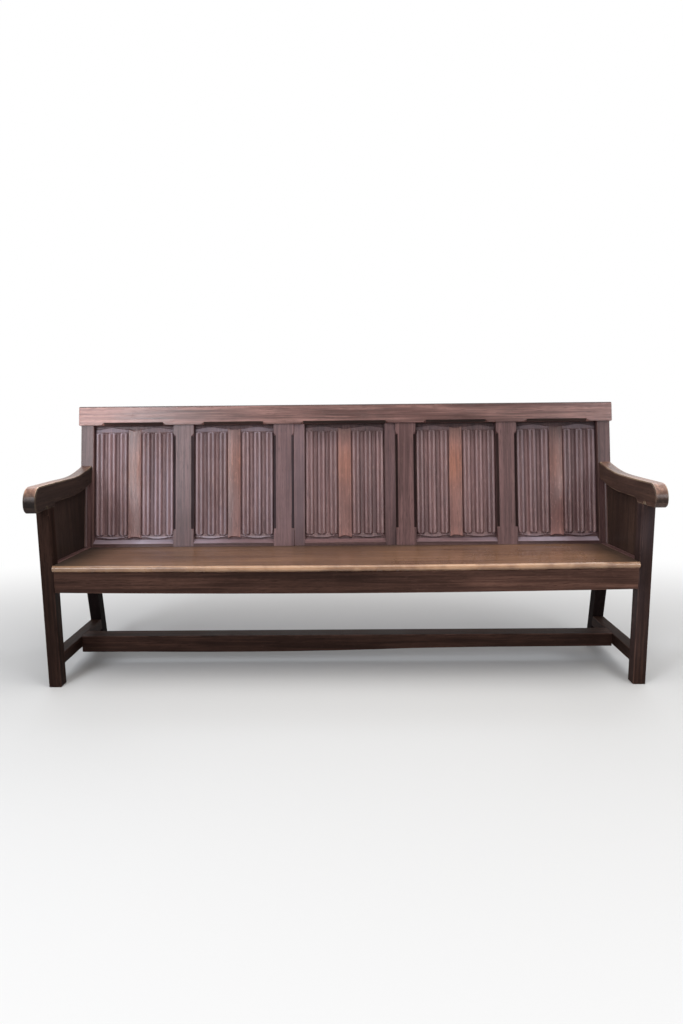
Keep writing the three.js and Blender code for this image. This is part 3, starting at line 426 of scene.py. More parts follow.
def stain_and_light_at(name, n, place, tone_and_light, painted_sheen_level):
    """The staining with its painted light and shade, and the painted sheen, at one corner of a board's face with the
    normal n.
    """
    x, y, z = place
    if name in ("arm_left", "arm_right") and abs(n.x) < 0.5 and n.z > -0.2:
        # Hands have rubbed the sweep pale, and its top faces are drawn paler still as a painted highlight; the front
        # of the scroll is darkened below as painted shade.
        turned_up = 1.0 if y > SCROLL_FRONT else even_step(z, 0.665, 0.71) ** (2.5 if x < 0 else 0.9)
        rubbed = 1.9 + 2.2 * soft_step(-y, -0.1, 0.26)
        tone_and_light = (1 - turned_up) * 0.45 * tone_and_light + turned_up * rubbed
    elif name == "seat_board" and n.y < -0.2 and n.z > -0.3:
        # Painted highlight along the seat's front edge, partly wear from sitters: brightest right of the middle,
        # dimmest at the left end.
        tone_and_light *= 1.52 + 0.28 * x - 0.55 * x * x
    elif name == "seat_board" and n.z > 0.8:
        # The top is darkened at its ends and towards the back as painted shade, lightened to the right as painted
        # light, and in the middle it is darker at the back and paler at the front, partly polish and partly painted
        # light.
        end, back = soft_step(1.0 - abs(x), 0.0, 0.17), soft_step(SEAT_BACK - y, 0.0, 0.05)
        tone_and_light *= (0.2 + 0.8 * end) * (0.35 + 0.65 * back) * (0.82 + 0.44 * max(x, 0))
        tone_and_light *= 1 + hump(x, 0.05, 0.45) * (0.42 * soft_step(SEAT_BACK - y, 0.0, 0.24) - 0.32)
    elif name == "front_seat_rail":
        # Painted light: the front rail is drawn lighter towards its right end and a little towards its left end.
        tone_and_light *= 0.92 + 0.85 * soft_step(x, 0.05, 0.45) + 0.12 * soft_step(-x, 0.3, 0.9)
    elif name == "front_post_right":
        # Painted sheen on the upper part of the right front post.
        painted_sheen_level = 0.048 if z > 0.3 else 0
    elif name == "top_rail":
        # Painted sheen: the top rail is drawn lighter towards its left end.
        tone_and_light *= 1 + 0.68 * soft_step(-x, 0.45, 1.0)
    elif name == "lower_back_rail" and z > SEAT_HEIGHT - 0.02:
        # Painted light and shade on the sill: its slope is drawn lighter and carries a painted sheen, most at both
        # ends, and its other faces are drawn darker.
        sloping = n.z > 0.5 and n.y < -0.2
        tone_and_light *= 1.15 if sloping else 0.6
        spread = (0.42 if x > 0 else 0.52) * min(abs(x) / 0.75, 1) ** 1.3
        painted_sheen_level = spread + 0.55 * max(1 - abs(abs(x) - WAX_HEAPS) / 0.09, 0) if sloping else 0
    return tone_and_light, painted_sheen_level


def loops_of(face):
    return slice(face.loop_start, face.loop_start + face.loop_total)


def take_stain_and_light(mesh, name):
    """Stores at each corner how pale its staining and its painted light and shade leave it, its painted sheen and
    its dirt.
    """
    shades = np.full(len(mesh.loops), BOARD_TONE_AND_LIGHT.get(name, 1.0))
    painted_sheen = np.full(len(mesh.loops), PAINTED_SHEEN_BY_BOARD.get(name, 0.0))
    dirt = np.zeros(len(mesh.loops))
    for face in mesh.polygons:
        n, corners = face.normal, loops_of(face)
        slanting = CHAMFER_FACING[0] < abs(n.dot(INTO_BACK)) < CHAMFER_FACING[1]
        # Painted shade: the stopped chamfers of the muntins and the top rail are drawn dark.
        if name.startswith(("muntin", "top_rail")) and slanting and face.area > CHAMFER_AREA:
            shades[corners] *= CHAMFER_PAINTED_SHADE
        if name.startswith("rear_post") and face.center.z < REAR_LEG_TOP:
            # Painted shade under the seat: the sides that face the front are darkened, the left post more than the
            # right, while the sides that face the back and the ends of the room, which alone catch any light, are
            # drawn lighter.
            turned_away = n.y > 0.3 or n.x * face.center.x > 0.3
            dirt[corners] = TURNED_LEG_DIRT if turned_away else LEG_DIRT
            side = "left" if face.center.x < 0 else "right"
            shades[corners] *= LEG_PAINTED_SHADE["turned away" if turned_away else side]
        for corner, point in zip(face.loop_indices, face.vertices):
            place = mesh.vertices[point].co
            shades[corner], painted_sheen[corner] = stain_and_light_at(name, n, place, shades[corner], painted_sheen[corner])
    store(mesh, "stain_and_light", shades)
    store(mesh, "painted_sheen", painted_sheen)
    store(mesh, "dirt", dirt)


def mark_arrises(mesh, widest):
    """Marks the narrow faces of the eased edges, which wear first."""
    marks = np.zeros(len(mesh.loops))
    points = [v.co for v in mesh.vertices]
    for face in mesh.polygons:
        corners = [points[i] for i in face.vertices]
        longest = max((corners[i] - corners[i - 1]).length for i in range(len(corners)))
        if face.area < longest * widest:
            marks[loops_of(face)] = 1.0
    store(mesh, "arris", marks)


def evaluated_mesh(obj, name):
    """The object's mesh with its modifiers applied, and the object taken away."""
    graph = bpy.context.evaluated_depsgraph_get()
    graph.update()
    mesh = bpy.data.meshes.new_from_object(obj.evaluated_get(graph), preserve_all_data_layers=True, depsgraph=graph)
    mesh.name = name
    bpy.data.objects.remove(obj)
    return mesh


# Cuts through long faces, so that their wear and their painted light and shade can change along them
CUTS = {
    "seat_board": ((X, (-0.98, -0.93, -0.85, -0.65, -0.45, -0.2, 0.0, 0.2, 0.45, 0.65, 0.85, 0.93, 0.98)),
                   (Y, (-0.08, 0.0, 0.09, 0.13, 0.15))),
    "lower_back_rail": ((X, (-0.9, -0.81, -0.72, -0.4, 0.4, 0.72, 0.81, 0.9)),),
    "front_seat_rail": ((X, (-0.85, -0.6, -0.4, -0.2, 0.0, 0.15, 0.3, 0.45, 0.65, 0.85)),),
    "top_rail": ((X, (-0.98, -0.85, -0.6, -0.3, 0.0, 0.3, 0.6, 0.85)),),
    "centre_stretcher": ((X, (-0.75, -0.65, -0.5, -0.35, -0.2, -0.05, 0.1, 0.25, 0.5)),),
    **both("rear_post", ((Z, (REAR_LEG_TOP, POLISH_AND_LIGHT_FULL)),)),
}


# How much each scroll stands fuller than the plain one, on top and at its chin
FULLER = {"arm_left": (0.009, 0.003), "arm_right": (0.0045, 0.0)}
# Height under which the top rail's stopped chamfers lie, half the length that they fill, and by what share their
# stops stand further from the middles of their bays
STOPS_UNDER, STOPS_WITHIN, STOPS_LONGER = 0.9165, 0.97, 0.075
BAY_MIDDLES = (-0.8405, -0.4415, 0.0, 0.4415, 0.8405)
# How far the seat's front has sagged, and the front rail's lower edge more than that
SEAT_SAG, RAIL_BELLY = 0.005, 0.004
# How far the centre stretcher's lower edge slants down to the left, and how far it bellies
STRETCHER_SLANT, STRETCHER_BELLY = 0.012, 0.007
RAIL_MIDDLE = sum(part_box("front_seat_rail"), Vector()).z / 2
STRETCHER_MIDDLE = sum(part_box("centre_stretcher"), Vector()).z / 2


def worn_by_hand(node, point):
    """How age and the maker's hand stray from the plain shape: a sagged seat, fuller scrolls, longer stops."""
    x, y, z = point
    if node in FULLER:
        top, chin = FULLER[node]
        up = top * even_step(z, 0.663, 0.711) * (1 - soft_step(y, -0.08, 0.11))
        down = chin * even_step(-z, -0.652, -0.637) * (1 - soft_step(y, -0.262, -0.238))
        return Vector((0, 0, up - down))
    if node == "top_rail" and z < STOPS_UNDER and abs(x) < STOPS_WITHIN:
        return Vector(((x - min(BAY_MIDDLES, key=lambda middle: abs(middle - x))) * STOPS_LONGER, 0, 0))
    if node.startswith(("seat_board", "front_seat_rail", "seat_bearer", "glue_block")):
        belly = RAIL_BELLY if node == "front_seat_rail" and z < RAIL_MIDDLE else 0
        return Vector((0, 0, -(SEAT_SAG + belly) * hump(x, 0, 1) * even_step(-y, -0.15, 0.25)))
    if node == "centre_stretcher" and z < STRETCHER_MIDDLE:
        slant = STRETCHER_SLANT * even_step(-x, -0.7, 0.8)
        return Vector((0, 0, -slant - STRETCHER_BELLY * hump(x, -0.25, 0.55)))
    return Vector((0, 0, 0))


# How near corners are welded, and the angles in degrees up to which faces are flat, from which edges are eased, and
# from which the shading of boards and of carving is sharp
WELD = 0.00002
FLAT_WITHIN, EASED_FROM, SHARP_FROM, CARVING_SHARP_FROM = 0.4, 30, 62, 70
# The widest face that counts as an eased edge
ARRIS_WIDTH = 0.0026


def eased_copy(node, ease):
    """A welded copy of a CAD node with its sharp edges rounded over."""
    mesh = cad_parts[node].data.copy()
    for layer in list(mesh.attributes):
        if layer.name in ("custom_normal", "sharp_edge", "sharp_face"):
            mesh.attributes.remove(layer)
    work = bmesh.new()
    work.from_mesh(mesh)
    bmesh.ops.remove_doubles(work, verts=work.verts, dist=WELD)
    bmesh.ops.dissolve_limit(work, angle_limit=math.radians(FLAT_WITHIN), verts=work.verts, edges=work.edges)
    for way, places in CUTS.get(node, ()):
        for place in places:
            bmesh.ops.bisect_plane(work, geom=work.verts[:] + work.edges[:] + work.faces[:], plane_co=way * place,
                                   plane_no=way)
    for point in work.verts:
        point.co += worn_by_hand(node, point.co)
    work.to_mesh(mesh)
    work.free()
    obj = linked(node + "_work", mesh)
    bevel = obj.modifiers.new("Eased edges", "BEVEL")
    bevel.width = ease
    bevel.segments = 2
    bevel.limit_method = "ANGLE"
    bevel.angle_limit = math.radians(EASED_FROM)
    bevel.use_clamp_overlap = True
    smooth = obj.modifiers.new("Even shading", "WEIGHTED_NORMAL")
    smooth.keep_sharp = True
    smooth.weight = 80
    mesh.shade_smooth()
    mesh.set_sharp_from_angle(angle=math.radians(SHARP_FROM))
    return evaluated_mesh(obj, node + "_oak")


def finish_boards(context, step):
    ease = context.scene.settle_sizes.ease
    for name in GROUPS[step]:
        along, across, slot = BOARDS[name]
        mesh = eased_copy(name, ease * WORN_ROUND.get(name, 1.0))
        lay_grain(mesh, along, across, name)
        take_stain_and_light(mesh, name)
        mark_arrises(mesh, ARRIS_WIDTH)
        piece_from(name + "_oak", mesh, slot, [name], DRESSED_AS.get(name, slot))
    return {"FINISHED"}


# Linenfold panels

# Grid of a carved panel, across and up, and how much closer its rows stand near the carved ends
COLUMNS, ROWS = 240, 140
ROWS_BUNCHED = 0.78
# Sizes of the carving that no setting gives: how far the band bows up, how much of a fold each of its rolls takes,
# how high the hollow between them lies, and how far the wood swells between the folds
BAND_CROWN = 0.0012
ROLL_SHARE, HOLLOW_SHARE, SWELL_SHARE = 0.4545, 0.4, 0.16
# Inputs of the carving that are named like their settings, and those that carve_panel works out
SET_LENGTHS = ("Band rise", "Band groove", "Roll head margin", "Roll foot margin", "Roll end sweep",
               "Band head margin", "Band foot margin", "Band end sweep", "Hem head margin", "Hem foot margin",
               "Hem wave", "Hem rise", "Hem root rise", "Unevenness")
FITTED_LENGTHS = ("Width", "Foot", "Head", "Field foot", "Field head", "Thickness", "Carved half", "Rise",
                  "Band half", "Band crown", "Fold width", "Fold pitch")


def swing(t, share):
    """A share of a swing, from 0 at its ends to 1 in its middle."""
    return t.mul(t.sub(1.0, t.math("COSINE", t.mul(share, 2 * math.pi))), 0.5)


def linenfold_tree():
    """Geometry nodes that carve one linenfold panel: rolls in pairs beside a plain band, with shaped ends."""
    tree = bpy.data.node_groups.new("Linenfold panel", "GeometryNodeTree")
    tree.interface.new_socket("Geometry", in_out="OUTPUT", socket_type="NodeSocketGeometry")
    for label in FITTED_LENGTHS + SET_LENGTHS:
        socket = tree.interface.new_socket(label, in_out="INPUT", socket_type="NodeSocketFloat")
        socket.subtype = "DISTANCE"
    for label, kind in (("Folds", "Int"), ("Roll share", "Float"), ("Hollow share", "Float"), ("Seed", "Float"),
                        ("Place", "Vector"), ("Turn", "Rotation"), ("Oak", "Material")):
        tree.interface.new_socket(label, in_out="INPUT", socket_type="NodeSocket" + kind)
    t = Tree(tree)
    given = tree.nodes.new("NodeGroupInput").outputs
    out = tree.nodes.new("NodeGroupOutput").inputs

    board = t.node("GeometryNodeMeshGrid", {"Size X": given["Width"], "Size Y": 1.0, "Vertices X": COLUMNS,
                                            "Vertices Y": ROWS})
    corner = t.parts(t.node("GeometryNodeInputPosition").outputs[0])
    share = t.add(corner[1], 0.5)
    bunched = t.sub(share, t.mul(t.math("SINE", t.mul(share, 2 * math.pi)), ROWS_BUNCHED / (2 * math.pi)))
    up = t.add(given["Foot"], t.mul(bunched, t.sub(given["Head"], given["Foot"])))
    spread = t.node("GeometryNodeSetPosition", {"Geometry": board.outputs["Mesh"],
                                                "Position": t.vector(corner[0], up)}).outputs[0]

    # Height of the carving over the field
    position = t.node("GeometryNodeInputPosition").outputs[0]
    px, py, _ = t.parts(position)
    sway = t.noise(t.stretched(position, (14.0, 5.0, 0.0)), 1.0, 2.0, 0.5, seed=given["Seed"])
    reach = t.size(t.add(px, t.mul(t.sub(sway, 0.5), given["Unevenness"])))
    from_band = t.sub(reach, t.add(given["Band half"], given["Band groove"]))
    past = t.math("FLOOR", t.div(from_band, given["Fold pitch"]))
    fold = t.least(t.most(past, 0.0), t.sub(given["Folds"], 1.0))
    within = t.div(t.sub(from_band, t.mul(fold, given["Fold pitch"])), given["Fold width"])
    radius = t.mul(given["Roll share"], 0.5)
    far_roll = t.sub(1.0, radius)
    first = t.div(t.size(t.sub(within, radius)), radius)
    second = t.div(t.size(t.sub(within, far_roll)), radius)
    nearest = t.least(t.least(first, second), 1.0)
    dome = t.math("SQRT", t.sub(1.0, t.mul(nearest, nearest)))
    floor = t.mul(t.between(within, radius, far_roll), given["Hollow share"])
    inside = t.between(within, 0.0, 1.0)
    beyond = t.over(within, 1.0)
    sunk = t.div(t.sub(within, 1.0), t.sub(t.div(given["Fold pitch"], given["Fold width"]), 1.0))
    swell = t.mul(t.math("SINE", t.mul(t.clamp(sunk), math.pi)), SWELL_SHARE)
    carved_width = t.under(reach, given["Carved half"])
    section = t.add(t.mul(inside, t.add(floor, t.mul(t.sub(1.0, floor), dome))),
                    t.mul(t.mul(beyond, carved_width), swell))
    folds = t.mul(section, given["Rise"])
    to_side = t.div(reach, given["Band half"])
    bowed = t.sub(1.0, t.mul(to_side, to_side))
    band = t.mul(t.add(given["Band rise"], t.mul(given["Band crown"], bowed)), t.ramp(to_side, 1.0, 0.93))
    on_band = t.under(reach, given["Band half"])
    off_band = t.sub(1.0, on_band)
    raised = t.add(t.mul(band, on_band), t.mul(folds, off_band))

    # Lines where band and rolls end, and the waved hem beyond them
    drop = t.mul(t.sub(1.0, swing(t, t.clamp(within))), given["Roll end sweep"])
    hollow = t.mul(given["Band end sweep"], bowed)
    along_hem = t.div(t.sub(reach, given["Band half"]), t.sub(given["Carved half"], given["Band half"]))
    wave = t.mul(given["Hem wave"], t.sub(1.0, swing(t, along_hem)))
    uneven = t.noise(t.stretched(position, (60.0, 60.0, 0.0)), 1.0, 1.0, 0.5, seed=given["Seed"])
    ragged = t.mul(t.sub(uneven, 0.5), t.mul(given["Unevenness"], 3.0))
    on_cloth = t.mul(off_band, carved_width)

    def end(to_edge, end_name):
        """How far the carving has begun at one end, and the hem's height there."""
        to_rolls = t.sub(t.sub(to_edge, given["Roll %s margin" % end_name]), drop)
        to_band = t.sub(t.sub(to_edge, given["Band %s margin" % end_name]), hollow)
        begun = t.ramp(t.add(ragged, t.add(t.mul(on_band, to_band), t.mul(off_band, to_rolls))), 0.0, 0.0018)
        to_hem = t.sub(t.sub(to_edge, given["Hem %s margin" % end_name]), wave)
        root = t.add(given["Roll %s margin" % end_name], given["Roll end sweep"])
        rise = t.ramp(to_edge, given["Hem %s margin" % end_name], root, given["Hem rise"],
                      given["Hem root rise"], smooth=False)
        shown = t.mul(t.ramp(t.add(to_hem, ragged), 0.0, 0.0015), t.under(to_edge, root))
        return begun, t.mul(on_cloth, t.mul(rise, shown))

    head, head_hem = end(t.sub(given["Field head"], py), "head")
    foot, foot_hem = end(t.sub(py, given["Field foot"]), "foot")
    tooled = t.noise(t.stretched(position, (90.0, 22.0, 0.0)), 1.0, 2.0, 0.5, seed=given["Seed"])
    tool = t.mul(t.sub(tooled, 0.5), t.mul(given["Unevenness"], 0.7))
    carving = t.mul(t.least(head, foot), raised)
    relief = t.most(carving, t.most(head_hem, foot_hem))
    height = t.add(relief, t.mul(tool, t.over(relief, 0.0005)))
    carved = t.node("GeometryNodeSetPosition", {"Geometry": spread, "Offset": t.vector(z=height)})

    # Edges and back of the board
    rim = t.node("FunctionNodeCompare", {2: t.node("GeometryNodeInputMeshEdgeNeighbors").outputs[0], 3: 1},
                 data_type="INT", operation="EQUAL")
    depth = t.vector(z=t.mul(given["Thickness"], -1.0))
    sides = t.node("GeometryNodeExtrudeMesh", {"Mesh": carved.outputs[0], "Selection": rim.outputs[0],
                                               "Offset": depth, "Offset Scale": 1.0}, mode="EDGES")
    behind = t.node("GeometryNodeTransform", {"Geometry": spread, "Translation": depth})
    turned = t.node("GeometryNodeFlipFaces", {0: behind.outputs[0]})
    whole = t.node("GeometryNodeJoinGeometry", {0: sides.outputs[0]})
    t.feed(whole.inputs[0], turned.outputs[0])
    closed = t.node("GeometryNodeMergeByDistance", {"Geometry": whole.outputs[0], "Distance": WELD})
    soft = t.node("GeometryNodeSetShadeSmooth", {"Geometry": closed.outputs[0]})
    stood = t.node("GeometryNodeTransform", {"Geometry": soft.outputs[0], "Translation": given["Place"],
                                             "Rotation": given["Turn"]})
    real = t.node("GeometryNodeRealizeInstances", {0: stood.outputs[0]})
    coated = t.node("GeometryNodeSetMaterial", {"Geometry": real.outputs[0], "Material": given["Oak"]})
    t.feed(out[0], coated.outputs[0])
    return tree


# Wear and painted light of each panel: how much sitters have leaned on its band, how much painted sheen the ends of
# its rolls hold, how far its crests are rubbed, how pale its folds are drawn as painted light, and how much it is
# drawn paler towards its foot as painted light
WEAR_AND_LIGHT = {
    "linenfold_panel_1": dict(leaning=0.85, painted_sheen_level=0.75, rubbed=1.0, pale=1.13, paling=0.0),
    "linenfold_panel_2": dict(leaning=0.75, painted_sheen_level=0.5, rubbed=0.95, pale=1.0, paling=0.0),
    "linenfold_panel_3": dict(leaning=0.8, painted_sheen_level=0.12, rubbed=0.65, pale=0.98, paling=0.0),
    "linenfold_panel_4": dict(leaning=1.0, painted_sheen_level=0.1, rubbed=0.6, pale=0.98, paling=0.0),
    "linenfold_panel_5": dict(leaning=0.65, painted_sheen_level=0.2, rubbed=0.5, pale=0.93, paling=0.32),
}


def carve_panel(tree, node, seed, sizes):
    """One linenfold panel over its CAD node."""
    low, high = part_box(node)
    groove = sizes.groove
    seat_u = -sizes.seat_fall / (math.cos(RAKE) + sizes.seat_fall * math.sin(RAKE) / SEAT_DEPTH)
    field = (seat_u + sizes.sill_lip + sizes.sill_rise, sizes.back_length - sizes.top_rail_height)
    first_low, first_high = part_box("linenfold_panel_1")
    carved_half = (first_high.x - first_low.x - 2 * groove) / 2 - sizes.fold_margin
    band_half = carved_half * sizes.band_share
    fold_width = carved_half * sizes.fold_share
    pitch = (carved_half - band_half - sizes.band_groove - fold_width) / (sizes.folds - 1)
    middle = Vector(((low.x + high.x) / 2, 0, 0))
    values = {label: getattr(sizes, label.lower().replace(" ", "_")) for label in SET_LENGTHS}
    values.update({
        "Width": high.x - low.x, "Foot": field[0] - groove, "Head": field[1] + groove, "Field foot": field[0],
        "Field head": field[1], "Thickness": sizes.panel_edge, "Carved half": carved_half,
        "Rise": sizes.fold_rise, "Band half": band_half, "Band crown": BAND_CROWN, "Fold width": fold_width,
        "Fold pitch": pitch, "Folds": sizes.folds, "Roll share": ROLL_SHARE, "Hollow share": HOLLOW_SHARE,
        "Seed": seed, "Place": middle + BACK_FOOT + INTO_BACK * sizes.panel_setback,
        "Turn": (math.pi / 2 - RAKE, 0, 0), "Oak": oak("oak_panels"),
    })
    obj = linked(node + "_work", bpy.data.meshes.new(node + "_work"))
    carving = obj.modifiers.new("Linenfold", "NODES")
    carving.node_group = tree
    for item in tree.interface.items_tree:
        if item.in_out == "INPUT":
            carving[item.identifier] = values[item.name]
    mesh = evaluated_mesh(obj, node + "_carved")
    work = bmesh.new()
    work.from_mesh(mesh)
    bmesh.ops.recalc_face_normals(work, faces=work.faces)
    work.to_mesh(mesh)
    work.free()
    mesh.set_sharp_from_angle(angle=math.radians(CARVING_SHARP_FROM))
    lay_grain(mesh, UP_RAKE, X, node)
    shade_carving(mesh, sizes, (low.x + groove, high.x - groove), field, band_half, **WEAR_AND_LIGHT[node])
    piece_from(node + "_carved", mesh, "oak_panels", [node])


def shade_carving(mesh, sizes, across, up, band_half, leaning, painted_sheen_level, rubbed, pale, paling):
    """Marks the crests, which polish rubs paler, the hollows and corners, which hold dirt and are darkened as
    painted shade, the painted shadow at the head, the painted light on each panel, and the bands.
    """
    points = points_of(mesh)
    height = sizes.panel_setback - (points - np.array(BACK_FOOT)) @ np.array(INTO_BACK)
    way_up = (points - np.array(BACK_FOOT)) @ np.array(UP_RAKE)
    to_foot, to_head = way_up - up[0], up[1] - way_up
    share_up = np.clip(to_foot / (up[1] - up[0]), 0, 1)
    to_side = np.minimum(points[:, 0] - across[0], across[1] - points[:, 0])
    on_band = (np.abs(points[:, 0] - (across[0] + across[1]) / 2) < band_half) & (height > 0.005)
    crest = np.clip((height - 0.006) / 0.0045, 0, 1)
    hollow = 1 - np.clip((height - 0.001) / 0.0055, 0, 1)
    corner = np.clip((np.minimum(to_side, np.minimum(to_foot, to_head)) + 0.002) / 0.009, 0, 1)

    # Painted shade: darker in the hollows and along the edges beside the frame.
    stain_and_light = (1 - 0.1 * hollow * rubbed) * (0.5 + 0.5 * corner)
    # Painted shadow under the top rail: the head of the panel is darkened, less where it has more painted sheen.
    stain_and_light *= 1 - 0.66 * (1 - painted_sheen_level) * np.clip(1 - to_head / 0.09, 0, 1)
    # Painted light: the bands are lighter at their foot, each panel's folds are lightened or darkened by their own
    # factor, and a panel that pales towards its foot is lighter there and darker at its head.
    band_stain_and_light = (1 + 0.35 * np.clip(1 - to_foot / 0.05, 0, 1)) * (1 + 3.2 * paling * (0.5 - share_up))
    stain_and_light *= np.where(on_band, band_stain_and_light, pale * (1 + paling * (0.55 - share_up)))
    leaned_on = np.where(on_band, 0.35 + 0.65 * np.exp(-((share_up - 0.64) / 0.2) ** 2), 0.0)

    # Painted sheen lies along the ends of the rolls, on the hem, and as thin lines on the highest crests.
    head, foot = sizes.roll_head_margin + 0.002, sizes.roll_foot_margin + 0.002
    at_ends = (np.abs(to_head - head) < 0.0035) | (np.abs(to_foot - foot) < 0.0035)
    on_hem = ((to_head < head - 0.004) | (to_foot < foot - 0.004)) & (height > 0.0035)
    lines = 0.4 * np.clip((height - 0.0092) / 0.0014, 0, 1) + 0.12
    low_down = 1 + 0.5 * (to_foot < 0.03)
    painted_sheen = np.where(at_ends & (height > 0.0045), 1.0, np.where(on_hem, 0.55, 0)) * low_down

    store(mesh, "arris", np.where(on_band, crest * 0.6, crest * rubbed), "POINT")
    store(mesh, "stain_and_light", stain_and_light, "POINT")
    store(mesh, "dirt", 0.5 * hollow * corner, "POINT")
    store(mesh, "leaned_on", leaned_on * leaning, "POINT")
    store(mesh, "painted_sheen", np.minimum(np.where(on_band, 0.08, np.maximum(painted_sheen, lines)) * painted_sheen_level, 1), "POINT")


# Settings

def length(label, value, description):
    return bpy.props.FloatProperty(name=label, description=description, default=value, unit="LENGTH", precision=4)


def fraction(label, value, description):
    return bpy.props.FloatProperty(name=label, description=description, default=value, min=0, max=1,
                                   subtype="FACTOR")


def colour(label, value, description):
    return bpy.props.FloatVectorProperty(name=label, description=description, default=value, size=3, min=0, max=1,
                                         subtype="COLOR")


def angle(label, degrees, description):
    return bpy.props.FloatProperty(name=label, description=description, default=math.radians(degrees),
                                   subtype="ANGLE")


class SettleSizes(bpy.types.PropertyGroup):
    """Sizes of the finished surfaces."""
    ease: length("Eased edge", 0.0009, "Radius that rounds over the edges of the frame")
    back_length: length("Back length", 0.549, "Seat to the top edge of the back along the rake")
    top_rail_height: length("Top rail height", 0.075, "Height of the top rail")
    seat_fall: length("Seat fall", 0.011, "How much lower the seat is at the back")
    sill_lip: length("Sill lip", 0.012, "Upright front of the sill over the seat")
    sill_rise: length("Sill rise", 0.017, "Height of the sill's slope")
    groove: length("Groove", 0.008, "Depth that a panel stands in its frame")
    panel_setback: length("Panel setback", 0.024, "Field of the panels behind the frame")
    panel_edge: length("Panel edge", 0.008, "Thickness of a panel's edge")
    fold_margin: length("Fold margin", 0.0025, "Last fold to the side of a bay")
    fold_rise: length("Fold rise", 0.011, "Crest of a fold over the field")
    band_rise: length("Band rise", 0.008, "Centre band over the field")
    band_groove: length("Band groove", 0.002, "Centre band to the first roll")
    band_share: fraction("Band share", 0.172, "Half band in half of the carved width")
    fold_share: fraction("Fold share", 0.21, "One fold in half of the carved width")
    folds: bpy.props.IntProperty(name="Folds", description="Folds on each side of the band", default=3, min=1, max=6)
    roll_head_margin: length("Rolls to head", 0.027, "Upper ends of the rolls to the edge of the field")
    roll_foot_margin: length("Rolls to foot", 0.014, "Lower ends of the rolls to the edge of the field")
    roll_end_sweep: length("Roll end sweep", 0.004, "How far a fold's ends fall back at its sides")
    band_head_margin: length("Band to head", 0.011, "Upper corners of the band to the edge of the field")
    band_foot_margin: length("Band to foot", 0.0015, "Lower corners of the band to the edge of the field")
    band_end_sweep: length("Band end sweep", 0.007, "How far the band's ends are hollowed in its middle")
    hem_head_margin: length("Hem to head", 0.007, "Hem to the upper edge of the field, at its nearest")
    hem_foot_margin: length("Hem to foot", 0.0015, "Hem to the lower edge of the field, at its nearest")
    hem_wave: length("Hem wave", 0.007, "How far the hem swings")
    hem_rise: length("Hem rise", 0.0065, "Edge of the hem over the field")
    hem_root_rise: length("Hem root rise", 0.0025, "Hem over the field where it comes out from the rolls")
    unevenness: length("Unevenness", 0.0011, "How far hand carving strays from a straight line")


# The three parts of the oak that have a colour, and each finish's colours for them
SHADE_PARTS = {"dark": "Dark bands", "light": "Light bands", "rubbed": "Rubbed arrises"}
SHADES = {
    "frame": ((0.073, 0.035, 0.034), (0.165, 0.086, 0.083), (0.26, 0.155, 0.11)),
    "legs": ((0.0145, 0.0072, 0.0055), (0.034, 0.017, 0.0125), (0.1, 0.054, 0.042)),
    "arms": ((0.047, 0.0245, 0.018), (0.102, 0.056, 0.04), (0.34, 0.24, 0.16)),
    "panels": ((0.1, 0.051, 0.051), (0.205, 0.109, 0.105), (0.3, 0.175, 0.16)),
    "seat": ((0.14, 0.07, 0.039), (0.27, 0.142, 0.077), (0.4, 0.24, 0.14)),
    "rails": ((0.078, 0.033, 0.028), (0.255, 0.13, 0.111), (0.34, 0.2, 0.165)),
    "inside": ((0.12, 0.08, 0.05), (0.22, 0.155, 0.1), (0.28, 0.2, 0.14)),
}


def finish_colours():
    """The colour settings of all finishes, by name."""
    made = {}
    for finish, shades in SHADES.items():
        for (part, what), value in zip(SHADE_PARTS.items(), shades):
            label = "%s, %s" % (finish.capitalize(), part)
            made["oak_%s_%s" % (finish, part)] = colour(label, value, "%s of the oak: %s" % (what, finish))
    return made


class SettleFinishes(bpy.types.PropertyGroup):
    """Colours of the oak, for its dark bands, its light bands and its rubbed arrises."""
    __annotations__ = finish_colours()


class SettleStudio(bpy.types.PropertyGroup):
    """The camera and the lights."""
    camera_place: bpy.props.FloatVectorProperty(name="Camera place", description="Where the camera stands",
                                                default=(0.0166, -2.5623, 0.9822), size=3, subtype="TRANSLATION")
    pitch: angle("Pitch", 8.7727, "How far the camera looks down")
    yaw: angle("Yaw", -0.6372, "How far the camera looks to the right")
    roll: angle("Roll", -0.5625, "How far the camera leans")
    focal: bpy.props.FloatProperty(name="Focal length", description="Lens of the camera on a 36 mm frame",
                                   default=702.79 / 1024 * 36, unit="CAMERA")
    room: fraction("Room light", 0.3, "Light from all round")


# Operators

class SETTLE_OT_legs(bpy.types.Operator):
    """Finish the posts and stretchers"""
    bl_idname = "settle.legs"
    bl_label = "Finish legs"

    def execute(self, context):
        return finish_boards(context, "legs")


class SETTLE_OT_seat(bpy.types.Operator):
    """Finish the seat board, its rails and what carries it"""
    bl_idname = "settle.seat"
    bl_label = "Finish seat"

    def execute(self, context):
        return finish_boards(context, "seat")


class SETTLE_OT_back(bpy.types.Operator):
    """Finish the rails, muntins and strips of the back"""
    bl_idname = "settle.back"
    bl_label = "Finish back frame"

    def execute(self, context):
        return finish_boards(context, "back")


class SETTLE_OT_arms(bpy.types.Operator):
    """Finish the scrolled arms and the panels under them"""
    bl_idname = "settle.arms"
    bl_label = "Finish arms"

    def execute(self, context):
        return finish_boards(context, "arms")


class SETTLE_OT_linenfold(bpy.types.Operator):
    """Carve the five linenfold panels"""
    bl_idname = "settle.linenfold"
    bl_label = "Carve linenfold"

    def execute(self, context):
        tree = linenfold_tree()
        for i, node in enumerate(WEAR_AND_LIGHT):
            carve_panel(tree, node, 3.7 * i + 1.3, context.scene.settle_sizes)
        return {"FINISHED"}


